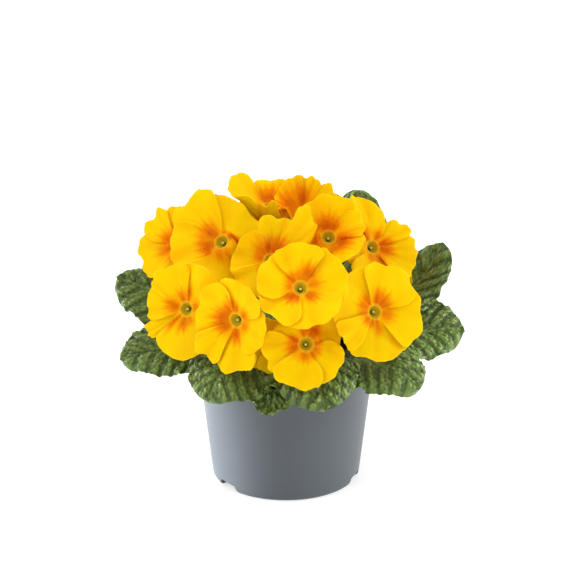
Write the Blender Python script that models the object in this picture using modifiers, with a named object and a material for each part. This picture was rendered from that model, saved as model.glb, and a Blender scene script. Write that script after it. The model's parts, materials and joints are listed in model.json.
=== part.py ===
"""A potted primrose: a grey nursery pot of peat with a rosette of leaves and a dome of yellow flowers.

The frame has +Z up, its origin on the ground under the middle of the pot, and the front of the plant
towards -Y. Every petiole and flower stalk stands in its own hole in the peat. Each bloom's tube
stands in the cup of its calyx.
"""

import math
import random

import bmesh
import bpy
import numpy as np
from mathutils import Matrix, Vector
from mathutils.bvhtree import BVHTree

# Pot: a thin moulded shell with a collar round its rim, a foot ring and a raised floor
POT_HEIGHT = 0.078
POT_RIM_RADIUS = 0.053
POT_COLLAR_HEIGHT = 0.007
POT_COLLAR_STEP = 0.0016
POT_SHOULDER_RADIUS = 0.0510
POT_BASE_RADIUS = 0.0436
POT_WALL = 0.0010
POT_FOOT_OUTER = 0.0418
POT_FOOT_INNER = 0.0365
POT_FOOT_CURVE = 0.0060
POT_FLOOR = 0.0040
POT_STEPS = 36
NOTCH_AZIMUTHS = (218, 340, 98)
NOTCH_HEIGHT = 0.0045
NOTCH_WIDTH = 0.0200
NOTCH_TOP_SHARE = 0.62
NOTCH_DEPTH = 0.0110
DRAIN_COUNT = 6
DRAIN_RADIUS = 0.0030
DRAIN_CIRCLE = 0.0230

# Peat: fills the pot to a little under its rim
GAP = 0.0004
PEAT_TOP = 0.0710
PEAT_MOUND = 0.0012
PEAT_RELIEF = 0.0007
PEAT_RINGS = 4
PEAT_STEPS = 24
HOLE_DEPTH = 0.0080

# Petals: five to a bloom, each over or under its neighbour along each side
PETAL_COUNT = 5
PETAL_THICKNESS = 0.0007
PETAL_CELLS_ACROSS = 4
PETAL_ROWS = (0.20, 0.62, 1.0)
PETAL_SLIT = math.radians(1.2)
PETAL_MEETS_AT = 0.20
PETAL_LAPS_AT = 0.60
PETAL_EDGE_LIFT = 0.0013
PETAL_ROUNDING = 0.10
PETAL_NOTCH = 0.05
PETAL_SHOULDER = 0.13
PETAL_BOW = math.radians(5.0)
EYE_RADIUS = 0.0064
MOUTH_RADIUS = 0.0028
TUBE_RADIUS = 0.0013
TUBE_LENGTH = 0.0130

# Calyx and stalk: five-angled, with a cup that holds the bloom's tube
CALYX_RIM = 0.0042
CALYX_RADIUS = 0.0043
CALYX_BORE = 0.0036
CALYX_BORE_FLOOR = 0.0027
CALYX_LENGTH = 0.0125
CALYX_TOOTH = 0.0018
CALYX_FLOOR = TUBE_LENGTH + 0.0004
STALK_RADIUS = 0.0012
STALK_RINGS = 6

# Leaves: crinkled blades on short channelled petioles
LEAF_THICKNESS = 0.0026
LEAF_THIN_SHARE = 0.30
LEAF_BLADE_SHARE = 0.30
LEAF_CELLS_ACROSS = 6
LEAF_BLADE_ROWS = 9
LEAF_PETIOLE_ROWS = 2
LEAF_PUCKER = 0.0013
LEAF_TOOTH = 0.0012
LEAF_SWEEP = 0.30
PETIOLE_HALF_WIDTH = 0.0022
LEAF_INNER_RING = 0.0165
LEAF_OUTER_RING = 0.0205

# What lies over what: covered petals and leaves are bent clear by these distances
HEART = Vector((0.0, 0.0, 0.085))
DOWN = Vector((0.0, 0.0, -1.0))
BLOOM_CLEARANCE = 0.0021
LEAF_CLEARANCE = 0.0017
STALK_CLEARANCE = 0.0060
BEND_SLOPE = 0.55
BEND_EVEN_WITHIN = 0.0045
BEND_ROUNDS = 5

# Blooms from the top layer down: throat (x, y, z), facing azimuth and elevation in degrees, radius,
# cup depth, turn of the first petal and overlap of two petals in degrees, and the stalk's foot as
# radius and azimuth.
BLOOMS = (
    ((0.008, -0.057, 0.136), 275, 42, 0.0258, 0.0065, 94, 15, 0.0052, 284),
    ((0.049, -0.046, 0.118), 296, 22, 0.0285, 0.0045, 66, 15, 0.0104, 317),
    ((-0.0085, -0.020, 0.1385), 266, 38, 0.0270, 0.0060, 72, 15, 0.0052, 224),
    ((0.024, -0.010, 0.149), 277, 45, 0.0215, 0.0115, 93, 12, 0.0052, 344),
    ((-0.027, -0.058, 0.118), 236, 6, 0.0275, 0.0065, 60, 15, 0.0104, 237),
    ((-0.0555, -0.036, 0.116), 243, 18, 0.0272, 0.0045, 90, 15, 0.0104, 210),
    ((-0.036, -0.012, 0.147), 242, 38, 0.0290, 0.0060, 57, 9, 0.0052, 164),
    ((0.049, 0.002, 0.139), 302, 32, 0.0260, 0.0060, 20, 4, 0.0104, 4),
    ((0.011, -0.066, 0.1066), 272, 25, 0.0245, 0.0040, 46, 14, 0.0104, 287),
    ((-0.0620, 0.004, 0.1395), 224, 26, 0.0245, 0.0060, 100, 8, 0.0104, 178),
    ((0.0095, 0.020, 0.1525), 282, 52, 0.0212, 0.0090, 0, 10, 0.0052, 74),
    ((-0.0095, 0.024, 0.1550), 288, 72, 0.0215, 0.0070, 60, 8, 0.0, 0),
    ((0.032, 0.050, 0.138), 52, 40, 0.0230, 0.0060, 10, 14, 0.0104, 58),
    ((-0.046, 0.038, 0.136), 142, 36, 0.0245, 0.0050, 40, 14, 0.0104, 144),
    ((0.058, 0.025, 0.122), 24, 20, 0.0205, 0.0050, 85, 14, 0.0104, 30),
    ((-0.008, 0.062, 0.134), 98, 34, 0.0245, 0.0050, 55, 14, 0.0104, 102),
    ((-0.010, -0.050, 0.103), 262, 4, 0.0175, 0.0030, 65, 14, 0.0104, 262),
)

# The blooms that show: the angle in degrees where each petal starts, whether it lies over the petal
# before it there, its length as a share of the bloom's radius, how far its tip stands up more than
# the dish, and how much longer it is at its far edge.
NONE = (0, 0, 0, 0, 0)
PETALS = {
    1: ((47, 134, 204, 265, 347), (1, 0, 0, 0, 0), (0.96, 0.97, 1.00, 1.00, 1.02), NONE, NONE),
    2: ((4, 105, 180, 232, 295), (1, 0, 1, 0, 1), (0.97, 0.95, 0.97, 0.98, 1.00), NONE, NONE),
    3: (
        (22, 66, 98, 195, 290),
        (1, 0, 1, 1, 1),
        (1.22, 0.98, 0.80, 0.9, 0.9),
        NONE,
        (0.14, 0, 0.12, 0, 0),
    ),
    4: ((48, 131, 200, 270, 345), (0, 1, 1, 0, 1), (1.03, 0.85, 0.95, 0.95, 0.93), NONE, NONE),
    5: ((19, 106, 204, 258, 297), (1, 1, 1, 0, 1), (0.88, 0.90, 1.02, 1.04, 0.80), NONE, NONE),
    6: (
        (85, 162, 212, 225, 351),
        (1, 0, 0, 1, 1),
        (0.96, 0.90, 1.01, 1.03, 1.0),
        NONE,
        (0, -0.04, 0, 0, 0),
    ),
    7: (
        (41, 112, 162, 227, 308),
        (1, 1, 1, 1, 1),
        (1.04, 1.16, 1.06, 1.0, 0.74),
        (-0.005, -0.001, 0, 0, 0),
        (0.02, 0, 0, 0, 0),
    ),
    8: (
        (-1, 27, 110, 200, 290),
        (1, 1, 0, 1, 1),
        (1.03, 1.0, 1.08, 1.0, 1.04),
        NONE,
        (-0.10, 0.20, 0, 0, 0),
    ),
    9: ((4, 94, 157, 210, 296), (0, 1, 1, 1, 0), (0.95, 0.80, 1.02, 1.05, 0.97), NONE, NONE),
    10: ((50, 120, 185, 250, 330), (1, 1, 0, 1, 1), (0.95, 0.98, 1.03, 1.02, 1.0), NONE, NONE),
    11: (
        (12, 48, 82, 150, 235),
        (0, 0, 1, 1, 1),
        (0.98, 0.96, 0.92, 0.56, 0.8),
        (0.002, 0.002, 0.003, 0.002, 0),
        (0.06, 0.08, -0.08, 0, 0),
    ),
    12: (
        (40, 112, 180, 238, 310),
        (0, 1, 1, 1, 1),
        (0.96, 1.24, 0.76, 0.62, 0.52),
        (0.001, 0.002, 0.010, 0.024, 0),
        (0, 0.03, 0, 0, 0),
    ),
}

# Leaves from the top layer down: azimuth in degrees, foot radius, shoulder and tip of the midrib as
# (radius, height), half width, the blade's lean about its midrib in degrees, and its height over the
# pot's rim.
LEAVES = (
    (20, LEAF_INNER_RING, (0.072, 0.104), (0.097, 0.134), 0.0265, 32, 0.0012),
    (171, LEAF_INNER_RING, (0.070, 0.106), (0.099, 0.117), 0.0255, -30, 0.0012),
    (59, LEAF_INNER_RING, (0.074, 0.092), (0.083, 0.148), 0.0305, 0, 0.0012),
    (118, LEAF_INNER_RING, (0.074, 0.092), (0.084, 0.141), 0.0235, 0, 0.0012),
    (285, LEAF_OUTER_RING, (0.060, 0.100), (0.084, 0.075), 0.0275, 4, 0.0064),
    (239, LEAF_OUTER_RING, (0.060, 0.100), (0.085, 0.077), 0.0265, -4, 0.0036),
    (323, LEAF_OUTER_RING, (0.064, 0.098), (0.094, 0.077), 0.0265, 10, 0.0012),
    (2, LEAF_OUTER_RING, (0.068, 0.098), (0.104, 0.088), 0.0265, 32, 0.0012),
    (198, LEAF_OUTER_RING, (0.062, 0.100), (0.099, 0.084), 0.0275, -24, 0.0012),
    (90, LEAF_OUTER_RING, (0.060, 0.096), (0.082, 0.082), 0.0265, 0, 0.0012),
    (38, LEAF_OUTER_RING, (0.064, 0.098), (0.094, 0.082), 0.0255, 0, 0.0012),
    (145, LEAF_OUTER_RING, (0.064, 0.098), (0.094, 0.082), 0.0265, 0, 0.0012),
    (264, LEAF_OUTER_RING, (0.060, 0.094), (0.076, 0.079), 0.0150, 0, 0.0012),
)


def clear_scene():
    for obj in list(bpy.data.objects):
        bpy.data.objects.remove(obj, do_unlink=True)


def material(name, colour, roughness):
    made = bpy.data.materials.new(name)
    made.use_nodes = True
    shader = made.node_tree.nodes["Principled BSDF"]
    shader.inputs["Base Color"].default_value = (*colour, 1.0)
    shader.inputs["Roughness"].default_value = roughness
    shader.inputs["Metallic"].default_value = 0.0
    return made


def collection(name):
    made = bpy.data.collections.new(name)
    bpy.context.scene.collection.children.link(made)
    return made


def mesh_object(name, verts, faces, into, finish=None, place=None):
    """An object made from points in the plant's frame; place is its own frame, if it has one."""
    place = place or Matrix.Identity(4)
    inside = place.inverted()
    mesh = bpy.data.meshes.new(name)
    mesh.from_pydata([inside @ Vector(v) for v in verts], [], faces)
    obj = bpy.data.objects.new(name, mesh)
    obj.matrix_world = place
    into.objects.link(obj)
    if finish:
        mesh.materials.append(finish)
        mesh.shade_smooth()
        mesh.set_sharp_from_angle(angle=math.radians(40))
    return obj


def cutter_object(name, bm, into):
    mesh = bpy.data.meshes.new(name)
    bm.to_mesh(mesh)
    bm.free()
    obj = bpy.data.objects.new(name, mesh)
    obj.hide_render = True
    obj.display_type = "WIRE"
    into.objects.link(obj)
    return obj


def smoothstep(low, high, x):
    t = min(max((x - low) / (high - low), 0.0), 1.0)
    return t * t * (3.0 - 2.0 * t)


def heading(azimuth, elevation=0.0):
    a = math.radians(azimuth)
    e = math.radians(elevation)
    return Vector((math.cos(a) * math.cos(e), math.sin(a) * math.cos(e), math.sin(e)))


def bezier(points, t):
    a, b, c, d = points
    s = 1.0 - t
    return a * s**3 + b * 3 * s * s * t + c * 3 * s * t * t + d * t**3


def bezier_slope(points, t):
    a, b, c, d = points
    s = 1.0 - t
    return (b - a) * 3 * s * s + (c - b) * 6 * s * t + (d - c) * 3 * t * t


def spin(name, profile, steps, into, finish):
    """A turned solid: a profile in the XZ plane that a Screw modifier turns round the Z axis."""
    count = len(profile)
    verts = [(r, 0.0, z) for r, z in profile]
    edges = [(i, (i + 1) % count) for i in range(count)]
    if profile[0][0] == 0.0 or profile[-1][0] == 0.0:
        edges.pop()
    mesh = bpy.data.meshes.new(name)
    mesh.from_pydata(verts, edges, [])
    obj = bpy.data.objects.new(name, mesh)
    into.objects.link(obj)
    mesh.materials.append(finish)
    screw = obj.modifiers.new("Turned", "SCREW")
    screw.steps = steps
    screw.render_steps = steps
    screw.use_merge_vertices = True
    screw.merge_threshold = 0.0001
    screw.use_smooth_shade = True
    return obj


def cut(obj, cutters):
    """Cuts every object of a collection out of obj."""
    boolean = obj.modifiers.new("Cut", "BOOLEAN")
    boolean.operand_type = "COLLECTION"
    boolean.collection = cutters
    boolean.operation = "DIFFERENCE"
    boolean.solver = "EXACT"


def wall_radius(height):
    """Outer radius of the pot's plain wall at a height."""
    top = POT_HEIGHT - POT_COLLAR_HEIGHT
    share = (height - POT_FOOT_CURVE) / (top - POT_FOOT_CURVE)
    return POT_BASE_RADIUS + (POT_SHOULDER_RADIUS - POT_BASE_RADIUS) * share


def pot_profile():
    """The shell's section, down the outside, across the floor, and up the inside to the rim."""
    collar_foot = POT_HEIGHT - POT_COLLAR_HEIGHT
    foot_middle = (POT_FOOT_OUTER + POT_BASE_RADIUS) / 2
    outside = [
        (POT_RIM_RADIUS, POT_HEIGHT),
        (POT_RIM_RADIUS - 0.0003, collar_foot),
        (POT_SHOULDER_RADIUS, collar_foot - 0.0008),
        (POT_BASE_RADIUS, POT_FOOT_CURVE),
        (foot_middle + 0.0004, 0.0018),
        (POT_FOOT_OUTER, 0.0),
        (POT_FOOT_INNER, 0.0),
        (POT_FOOT_INNER - 0.0012, POT_FLOOR),
        (0.0, POT_FLOOR),
    ]
    inside = [
        (0.0, POT_FLOOR + POT_WALL),
        (POT_FOOT_INNER - 0.0006, POT_FLOOR + POT_WALL),
        (POT_FOOT_INNER + 0.0008, POT_WALL),
        (POT_FOOT_OUTER - 0.0005, POT_WALL),
        (POT_BASE_RADIUS - POT_WALL, POT_FOOT_CURVE + 0.0004),
        (POT_SHOULDER_RADIUS - POT_WALL, collar_foot - 0.0008),
        (POT_RIM_RADIUS - POT_COLLAR_STEP, collar_foot + 0.0006),
        (POT_RIM_RADIUS - POT_COLLAR_STEP, POT_HEIGHT),
    ]
    return outside + inside


def notch_cutter(azimuth):
    """A block with slanting ends, across the foot ring's outer edge."""
    bm = bmesh.new()
    bmesh.ops.create_cube(bm, size=1.0)
    for vert in bm.verts:
        if vert.co.z > 0:
            vert.co.y *= NOTCH_TOP_SHARE
    height = NOTCH_HEIGHT * 2
    bmesh.ops.scale(bm, vec=(NOTCH_DEPTH, NOTCH_WIDTH, height), verts=bm.verts)
    middle = Vector((POT_FOOT_OUTER + 0.0015, 0.0, 0.0))
    bmesh.ops.translate(bm, vec=middle, verts=bm.verts)
    turn = Matrix.Rotation(math.radians(azimuth), 4, "Z")
    bmesh.ops.transform(bm, matrix=turn, verts=bm.verts)
    return bm


def drain_cutter(azimuth):
    bm = bmesh.new()
    bmesh.ops.create_cone(
        bm,
        cap_ends=True,
        segments=8,
        radius1=DRAIN_RADIUS,
        radius2=DRAIN_RADIUS,
        depth=POT_FLOOR,
    )
    middle = heading(azimuth) * DRAIN_CIRCLE + Vector((0.0, 0.0, POT_FLOOR + POT_WALL / 2))
    bmesh.ops.translate(bm, vec=middle, verts=bm.verts)
    return bm


def make_pot(into, finish):
    pot = spin("pot", pot_profile(), POT_STEPS, into, finish)
    cutters = collection("pot_cutters")
    for i, azimuth in enumerate(NOTCH_AZIMUTHS):
        cutter_object(f"notch_cutter_{i}", notch_cutter(azimuth), cutters)
    for i in range(DRAIN_COUNT):
        azimuth = 360 * i / DRAIN_COUNT
        cutter_object(f"drain_cutter_{i}", drain_cutter(azimuth), cutters)
    cut(pot, cutters)
    return pot


def hole_cutter(place, width, depth, sides):
    """A straight plug for a petiole or a stalk, standing in the peat at place and turned with it."""
    bm = bmesh.new()
    bmesh.ops.create_cone(
        bm,
        cap_ends=True,
        segments=sides,
        radius1=1.0,
        radius2=1.0,
        depth=HOLE_DEPTH * 4,
    )
    if sides == 4:
        square = Matrix.Rotation(math.radians(45), 4, "Z")
        bmesh.ops.transform(bm, matrix=square, verts=bm.verts)
        side = math.sqrt(0.5)
    else:
        side = 1.0
    bmesh.ops.scale(bm, vec=(depth / side, width / side, 1.0), verts=bm.verts)
    up = Matrix.Translation((0.0, 0.0, HOLE_DEPTH * 2 - GAP))
    bmesh.ops.transform(bm, matrix=place @ up, verts=bm.verts)
    return bm


def make_peat(into, finish, cutters):
    """A plug of peat with an uneven top."""
    draw = random.Random(11)
    bottom = POT_FLOOR + POT_WALL + GAP
    top_radius = wall_radius(PEAT_TOP) - POT_WALL - GAP * 2
    bottom_radius = POT_FOOT_INNER - 0.0006
    verts = [(0.0, 0.0, PEAT_TOP + PEAT_MOUND)]
    rings = []
    for ring in range(1, PEAT_RINGS + 1):
        share = ring / PEAT_RINGS
        height = PEAT_TOP + PEAT_MOUND * (1 - share * share)
        rings.append((top_radius * share, height, PEAT_RELIEF))
    rings.append((bottom_radius + 0.0048, 0.0085, 0.0))
    rings.append((bottom_radius, bottom, 0.0))
    for radius, height, relief in rings:
        for step in range(PEAT_STEPS):
            spot = heading(360 * step / PEAT_STEPS) * radius
            verts.append((spot.x, spot.y, height + draw.uniform(-relief, relief)))
    verts.append((0.0, 0.0, bottom))
    faces = []
    for step in range(PEAT_STEPS):
        after = (step + 1) % PEAT_STEPS
        faces.append((0, 1 + step, 1 + after))
        for ring in range(len(rings) - 1):
            low = 1 + ring * PEAT_STEPS
            high = low + PEAT_STEPS
            faces.append((low + step, high + step, high + after))
            faces.append((low + step, high + after, low + after))
        last = 1 + (len(rings) - 1) * PEAT_STEPS
        faces.append((len(verts) - 1, last + after, last + step))
    peat = mesh_object("peat", verts, faces, into, finish)
    cut(peat, cutters)
    return peat


def distance_to_segment(point, ends):
    start, end = ends
    along = end - start
    share = min(max((point - start).dot(along) / along.length_squared, 0.0), 1.0)
    return (point - start - along * share).length


class Corolla:
    """One bloom's surface midway through its petals, as points, triangles and shares along a petal."""

    def __init__(self, index, spec, across, rows, above=()):
        throat, azimuth, elevation, radius, cup, turn, overlap, _, _ = spec
        self.overlap = math.radians(overlap)
        self.radius = radius
        self.cup = cup
        self.throat = Vector(throat)
        self.facing = heading(azimuth, elevation)
        side = Vector((0.0, 0.0, 1.0)).cross(self.facing).normalized()
        up = self.facing.cross(side)
        axes = Matrix((side, up, self.facing)).transposed().to_4x4()
        self.place = Matrix.Translation(self.throat) @ axes
        self.draw_petals(random.Random(100 + index), turn, PETALS.get(index + 1))
        self.axis = (self.throat, self.throat - self.facing * (CALYX_RIM + CALYX_LENGTH * 1.4))
        self.trim(above, across, rows)
        self.points = []
        self.shares = []
        self.faces = []
        self.build(across, rows)

    def draw_petals(self, draw, turn, listed):
        """Draws what differs from petal to petal, apart from what the table lists."""
        self.waves = [(k, draw.uniform(0, math.tau), draw.uniform(0.6, 1.0)) for k in (2, 3, 5, 10)]
        self.lengths = [draw.uniform(0.93, 1.04) for _ in range(PETAL_COUNT)]
        jogs = [draw.uniform(-1.5, 1.5) for _ in range(PETAL_COUNT)]
        self.folds = [draw.uniform(0, math.tau) for _ in range(PETAL_COUNT)]
        self.bows = [draw.uniform(-PETAL_BOW, PETAL_BOW) for _ in range(PETAL_COUNT)]
        self.notches = [(draw.uniform(-0.25, 0.25), draw.uniform(0.3, 1.3)) for _ in range(PETAL_COUNT)]
        starts = [turn + 360 / PETAL_COUNT * (k - 0.5) + jogs[k] for k in range(PETAL_COUNT)]
        self.over, self.rises, self.skews = [1] * PETAL_COUNT, NONE, NONE
        if listed:
            starts, self.over, lengths, self.rises, self.skews = listed
            self.lengths = list(lengths)
        self.spans = []
        for k, start in enumerate(starts):
            span = (starts[(k + 1) % PETAL_COUNT] - start) % 360
            self.spans.append((math.radians(start), math.radians(start + span)))

    def rise(self, theta):
        """How far the petals stand up at an angle, blended from the middle of one to the next."""
        middles = sorted(((a + b) / 2 % math.tau, r) for (a, b), r in zip(self.spans, self.rises))
        angles, heights = zip(*middles)
        return float(np.interp(theta % math.tau, angles, heights, period=math.tau))

    def height(self, rho, theta):
        """The dish of the bloom at a radius and an angle, with the waves that all petals share."""
        out = max(rho - MOUTH_RADIUS, 0.0)
        q = out / (self.radius - MOUTH_RADIUS)
        dish = 0.0011 * (1 - math.exp(-out / 0.0018)) + (self.cup + self.rise(theta)) * q**1.6
        sizes = (0.0011, 0.0010, 0.0008, 0.0004)
        wave = sum(
            size * weight * math.sin(k * theta + phase)
            for size, (k, phase, weight) in zip(sizes, self.waves)
        )
        return dish + wave * q * q

    def petal_point(self, petal, s, t):
        """A point of a petal: s runs from -1 to 1 across it, and t from 0 to 1 along it."""
        after = (petal + 1) % PETAL_COUNT
        start, end = self.spans[petal]
        under_first, under_last = 1 - self.over[petal], self.over[after]
        lap = min(self.overlap, (end - start) / 2) * smoothstep(PETAL_MEETS_AT, PETAL_LAPS_AT, t)
        slit = PETAL_SLIT * min(t * 4, 1.0)
        bow = math.sin(math.pi * t)
        first = start + self.bows[petal] * bow + slit - lap * under_first
        last = end + self.bows[after] * bow - slit + lap * under_last
        narrow = 1.0 - PETAL_ROUNDING * max((t - 0.55) / 0.45, 0.0) ** 2
        theta = (first + last) / 2 + s * (last - first) / 2 * narrow
        place, depth = self.notches[petal]
        notch = PETAL_NOTCH * depth * math.exp(-(((s - place) / 0.22) ** 2))
        outline = 1.0 - PETAL_SHOULDER * abs(s) ** 5 - notch + self.skews[petal] * s
        reach = self.radius * self.lengths[petal] * outline
        rho = EYE_RADIUS + (reach - EYE_RADIUS) * t
        lift_first, lift_last = 1 - 2 * under_first, 1 - 2 * under_last
        lift = PETAL_EDGE_LIFT * (lift_first * (1 - s) + lift_last * (1 + s)) / 2
        lift = lift * smoothstep(0.0, 0.25, t)
        fold = 0.0008 * t * t * (1 - s * s) * math.sin(math.pi * s * 1.5 + self.folds[petal])
        z = self.height(rho, theta) + lift + fold
        return (rho * math.cos(theta), rho * math.sin(theta), z)

    def trim(self, above, across, rows):
        """Shortens each petal until it stops clear of the calyces of the blooms above."""
        for petal in range(PETAL_COUNT):
            for _ in range(12):
                if not self.meets(petal, above, across, rows):
                    break
                self.lengths[petal] *= 0.95

    def meets(self, petal, above, across, rows):
        for t in rows:
            for k in range(across + 1):
                spot = self.place @ Vector(self.petal_point(petal, 2 * k / across - 1, t))
                inward = (HEART - spot).normalized()
                for other in above:
                    for deeper in (0.0, 0.004, 0.008):
                        near = spot + inward * deeper
                        if distance_to_segment(near, other.axis) < STALK_CLEARANCE:
                            return True
        return False

    def add(self, point, share):
        self.points.append(self.place @ Vector(point))
        self.shares.append(share)
        return len(self.points) - 1

    def ring(self, radius, angles, heights):
        made = []
        for theta, height in zip(angles, heights):
            point = (radius * math.cos(theta), radius * math.sin(theta), height)
            made.append(self.add(point, 0.0))
        return made

    def build(self, across, petal_rows):
        angles = [start + (end - start) * k / across for start, end in self.spans for k in range(across)]
        eye = self.ring(EYE_RADIUS, angles, [self.height(EYE_RADIUS, theta) for theta in angles])
        for petal in range(PETAL_COUNT):
            rows = [[eye[(petal * across + k) % len(eye)] for k in range(across + 1)]]
            for t in petal_rows:
                spots = [self.petal_point(petal, 2 * k / across - 1, t) for k in range(across + 1)]
                rows.append([self.add(spot, t) for spot in spots])
            self.join_rows(rows)
        ratio = across // 2
        angles = angles[::ratio]
        mouth = self.ring(MOUTH_RADIUS, angles, [0.0] * len(angles))
        tube = self.ring(TUBE_RADIUS, angles, [-TUBE_LENGTH] * len(angles))
        for k in range(len(mouth)):
            after = (k + 1) % len(mouth)
            outer = [eye[(k * ratio + n) % len(eye)] for n in range(ratio + 1)]
            half = ratio // 2
            self.faces += [(mouth[k], outer[n], outer[n + 1]) for n in range(half)]
            self.faces.append((mouth[k], outer[half], mouth[after]))
            self.faces += [(mouth[after], outer[n], outer[n + 1]) for n in range(half, ratio)]
            self.faces.append((tube[k], mouth[k], mouth[after]))
            self.faces.append((tube[k], mouth[after], tube[after]))

    def join_rows(self, rows):
        """Triangles between rows, with the diagonals mirrored about the petal's middle."""
        for low, high in zip(rows, rows[1:]):
            middle = (len(low) - 1) / 2
            for k in range(len(low) - 1):
                a, b, c, d = low[k], high[k], high[k + 1], low[k + 1]
                if k < middle:
                    self.faces += [(a, b, c), (a, c, d)]
                else:
                    self.faces += [(a, b, d), (b, c, d)]

    def petals(self):
        """The petals alone, as something that others are bent clear of."""
        spread = [f for f in self.faces if any(self.shares[v] > 0 for v in f)]
        return Cover(self.points, spread)


class Cover:
    """A surface that lies over others: its tree for rays, and points on it and along its edges."""

    def __init__(self, points, faces):
        self.tree = BVHTree.FromPolygons(points, faces)
        self.spots = [points[v] for v in sorted({v for face in faces for v in face})]
        edges = {tuple(sorted((f[k], f[k - 1]))) for f in faces for k in range(len(f))}
        self.spots += [(points[a] + points[b]) / 2 for a, b in sorted(edges)]


def ray_from_heart(point):
    ray = point - HEART
    return HEART, ray.normalized(), ray.length


def ray_from_ground(point):
    return Vector((point.x, point.y, 0.0)), Vector((0.0, 0.0, 1.0)), point.z


def needed_bends(points, faces, covers, ray_of, clearance, free):
    """How far each point has to go back along its ray to lie under the covers."""
    needs = np.zeros(len(points))
    own = BVHTree.FromPolygons(points, faces)
    for cover in covers:
        for i, point in enumerate(points):
            if not free[i]:
                continue
            start, ray, distance = ray_of(point)
            hit = cover.tree.ray_cast(start, ray, distance + 0.1)
            if hit[0] is not None:
                needs[i] = max(needs[i], distance - (hit[3] - clearance))
        for spot in cover.spots:
            start, ray, distance = ray_of(spot)
            hit = own.ray_cast(start, ray, distance + 0.1)
            if hit[0] is None:
                continue
            for i in faces[hit[2]]:
                if free[i]:
                    needs[i] = max(needs[i], hit[3] - (distance - clearance))
    return needs


def spread_bend(points, needs):
    """Spreads each point's own bend over its neighbours, falling off by no more than a slope."""
    spots = np.array([tuple(p) for p in points])
    moved = needs.copy()
    for i in np.nonzero(needs > 0)[0]:
        apart = np.linalg.norm(spots - spots[i], axis=1) - BEND_EVEN_WITHIN
        moved = np.maximum(moved, needs[i] - BEND_SLOPE * np.maximum(apart, 0.0))
    return moved


def bend_under(points, faces, covers, ray_of, clearance, grip):
    """Bends a surface clear of what lies over it; grip is 0 where it's held and 1 where it's free."""
    free = [share > 0 for share in grip]
    for _ in range(BEND_ROUNDS):
        needs = needed_bends(points, faces, covers, ray_of, clearance, free)
        if needs.max() < 0.00005:
            break
        bends = spread_bend(points, needs)
        for i, bend in enumerate(bends):
            ray = ray_of(points[i])[1]
            points[i] -= ray * float(bend) * grip[i]


def tuck_bloom(corolla, covers):
    grip = [smoothstep(0.0, 0.30, share) for share in corolla.shares]
    bend_under(corolla.points, corolla.faces, covers, ray_from_heart, BLOOM_CLEARANCE, grip)


def solidify(obj, thickness, offset):
    shell = obj.modifiers.new("Shell", "SOLIDIFY")
    shell.thickness = thickness
    shell.offset = offset
    return shell


def make_blooms(into, finish):
    """The corollas from the top layer down, and the covers that the leaves have to keep clear of."""
    corollas = []
    covers = []
    for index, spec in enumerate(BLOOMS):
        corolla = Corolla(index, spec, PETAL_CELLS_ACROSS, PETAL_ROWS, corollas)
        tuck_bloom(corolla, covers)
        covers.append(corolla.petals())
        name = f"bloom_{index + 1:02d}"
        obj = mesh_object(name, corolla.points, corolla.faces, into, finish, corolla.place)
        solidify(obj, PETAL_THICKNESS, 0.0)
        corollas.append(corolla)
    return corollas, covers


def stalk_path(corolla, start):
    """The stalk's middle line, from where it leaves the peat to the bottom of the calyx."""
    head = corolla.throat - corolla.facing * (CALYX_RIM + CALYX_LENGTH)
    rise = (head - start).length
    up = Vector((0.0, 0.0, 1.0))
    return (start, start + up * rise * 0.45, head - corolla.facing * rise * 0.20, head)


def pentagon(middle, axes, radius, turn=0.0):
    side, up = axes
    made = []
    for k in range(PETAL_COUNT):
        theta = math.tau * k / PETAL_COUNT + turn
        made.append(middle + side * radius * math.cos(theta) + up * radius * math.sin(theta))
    return made


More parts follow.
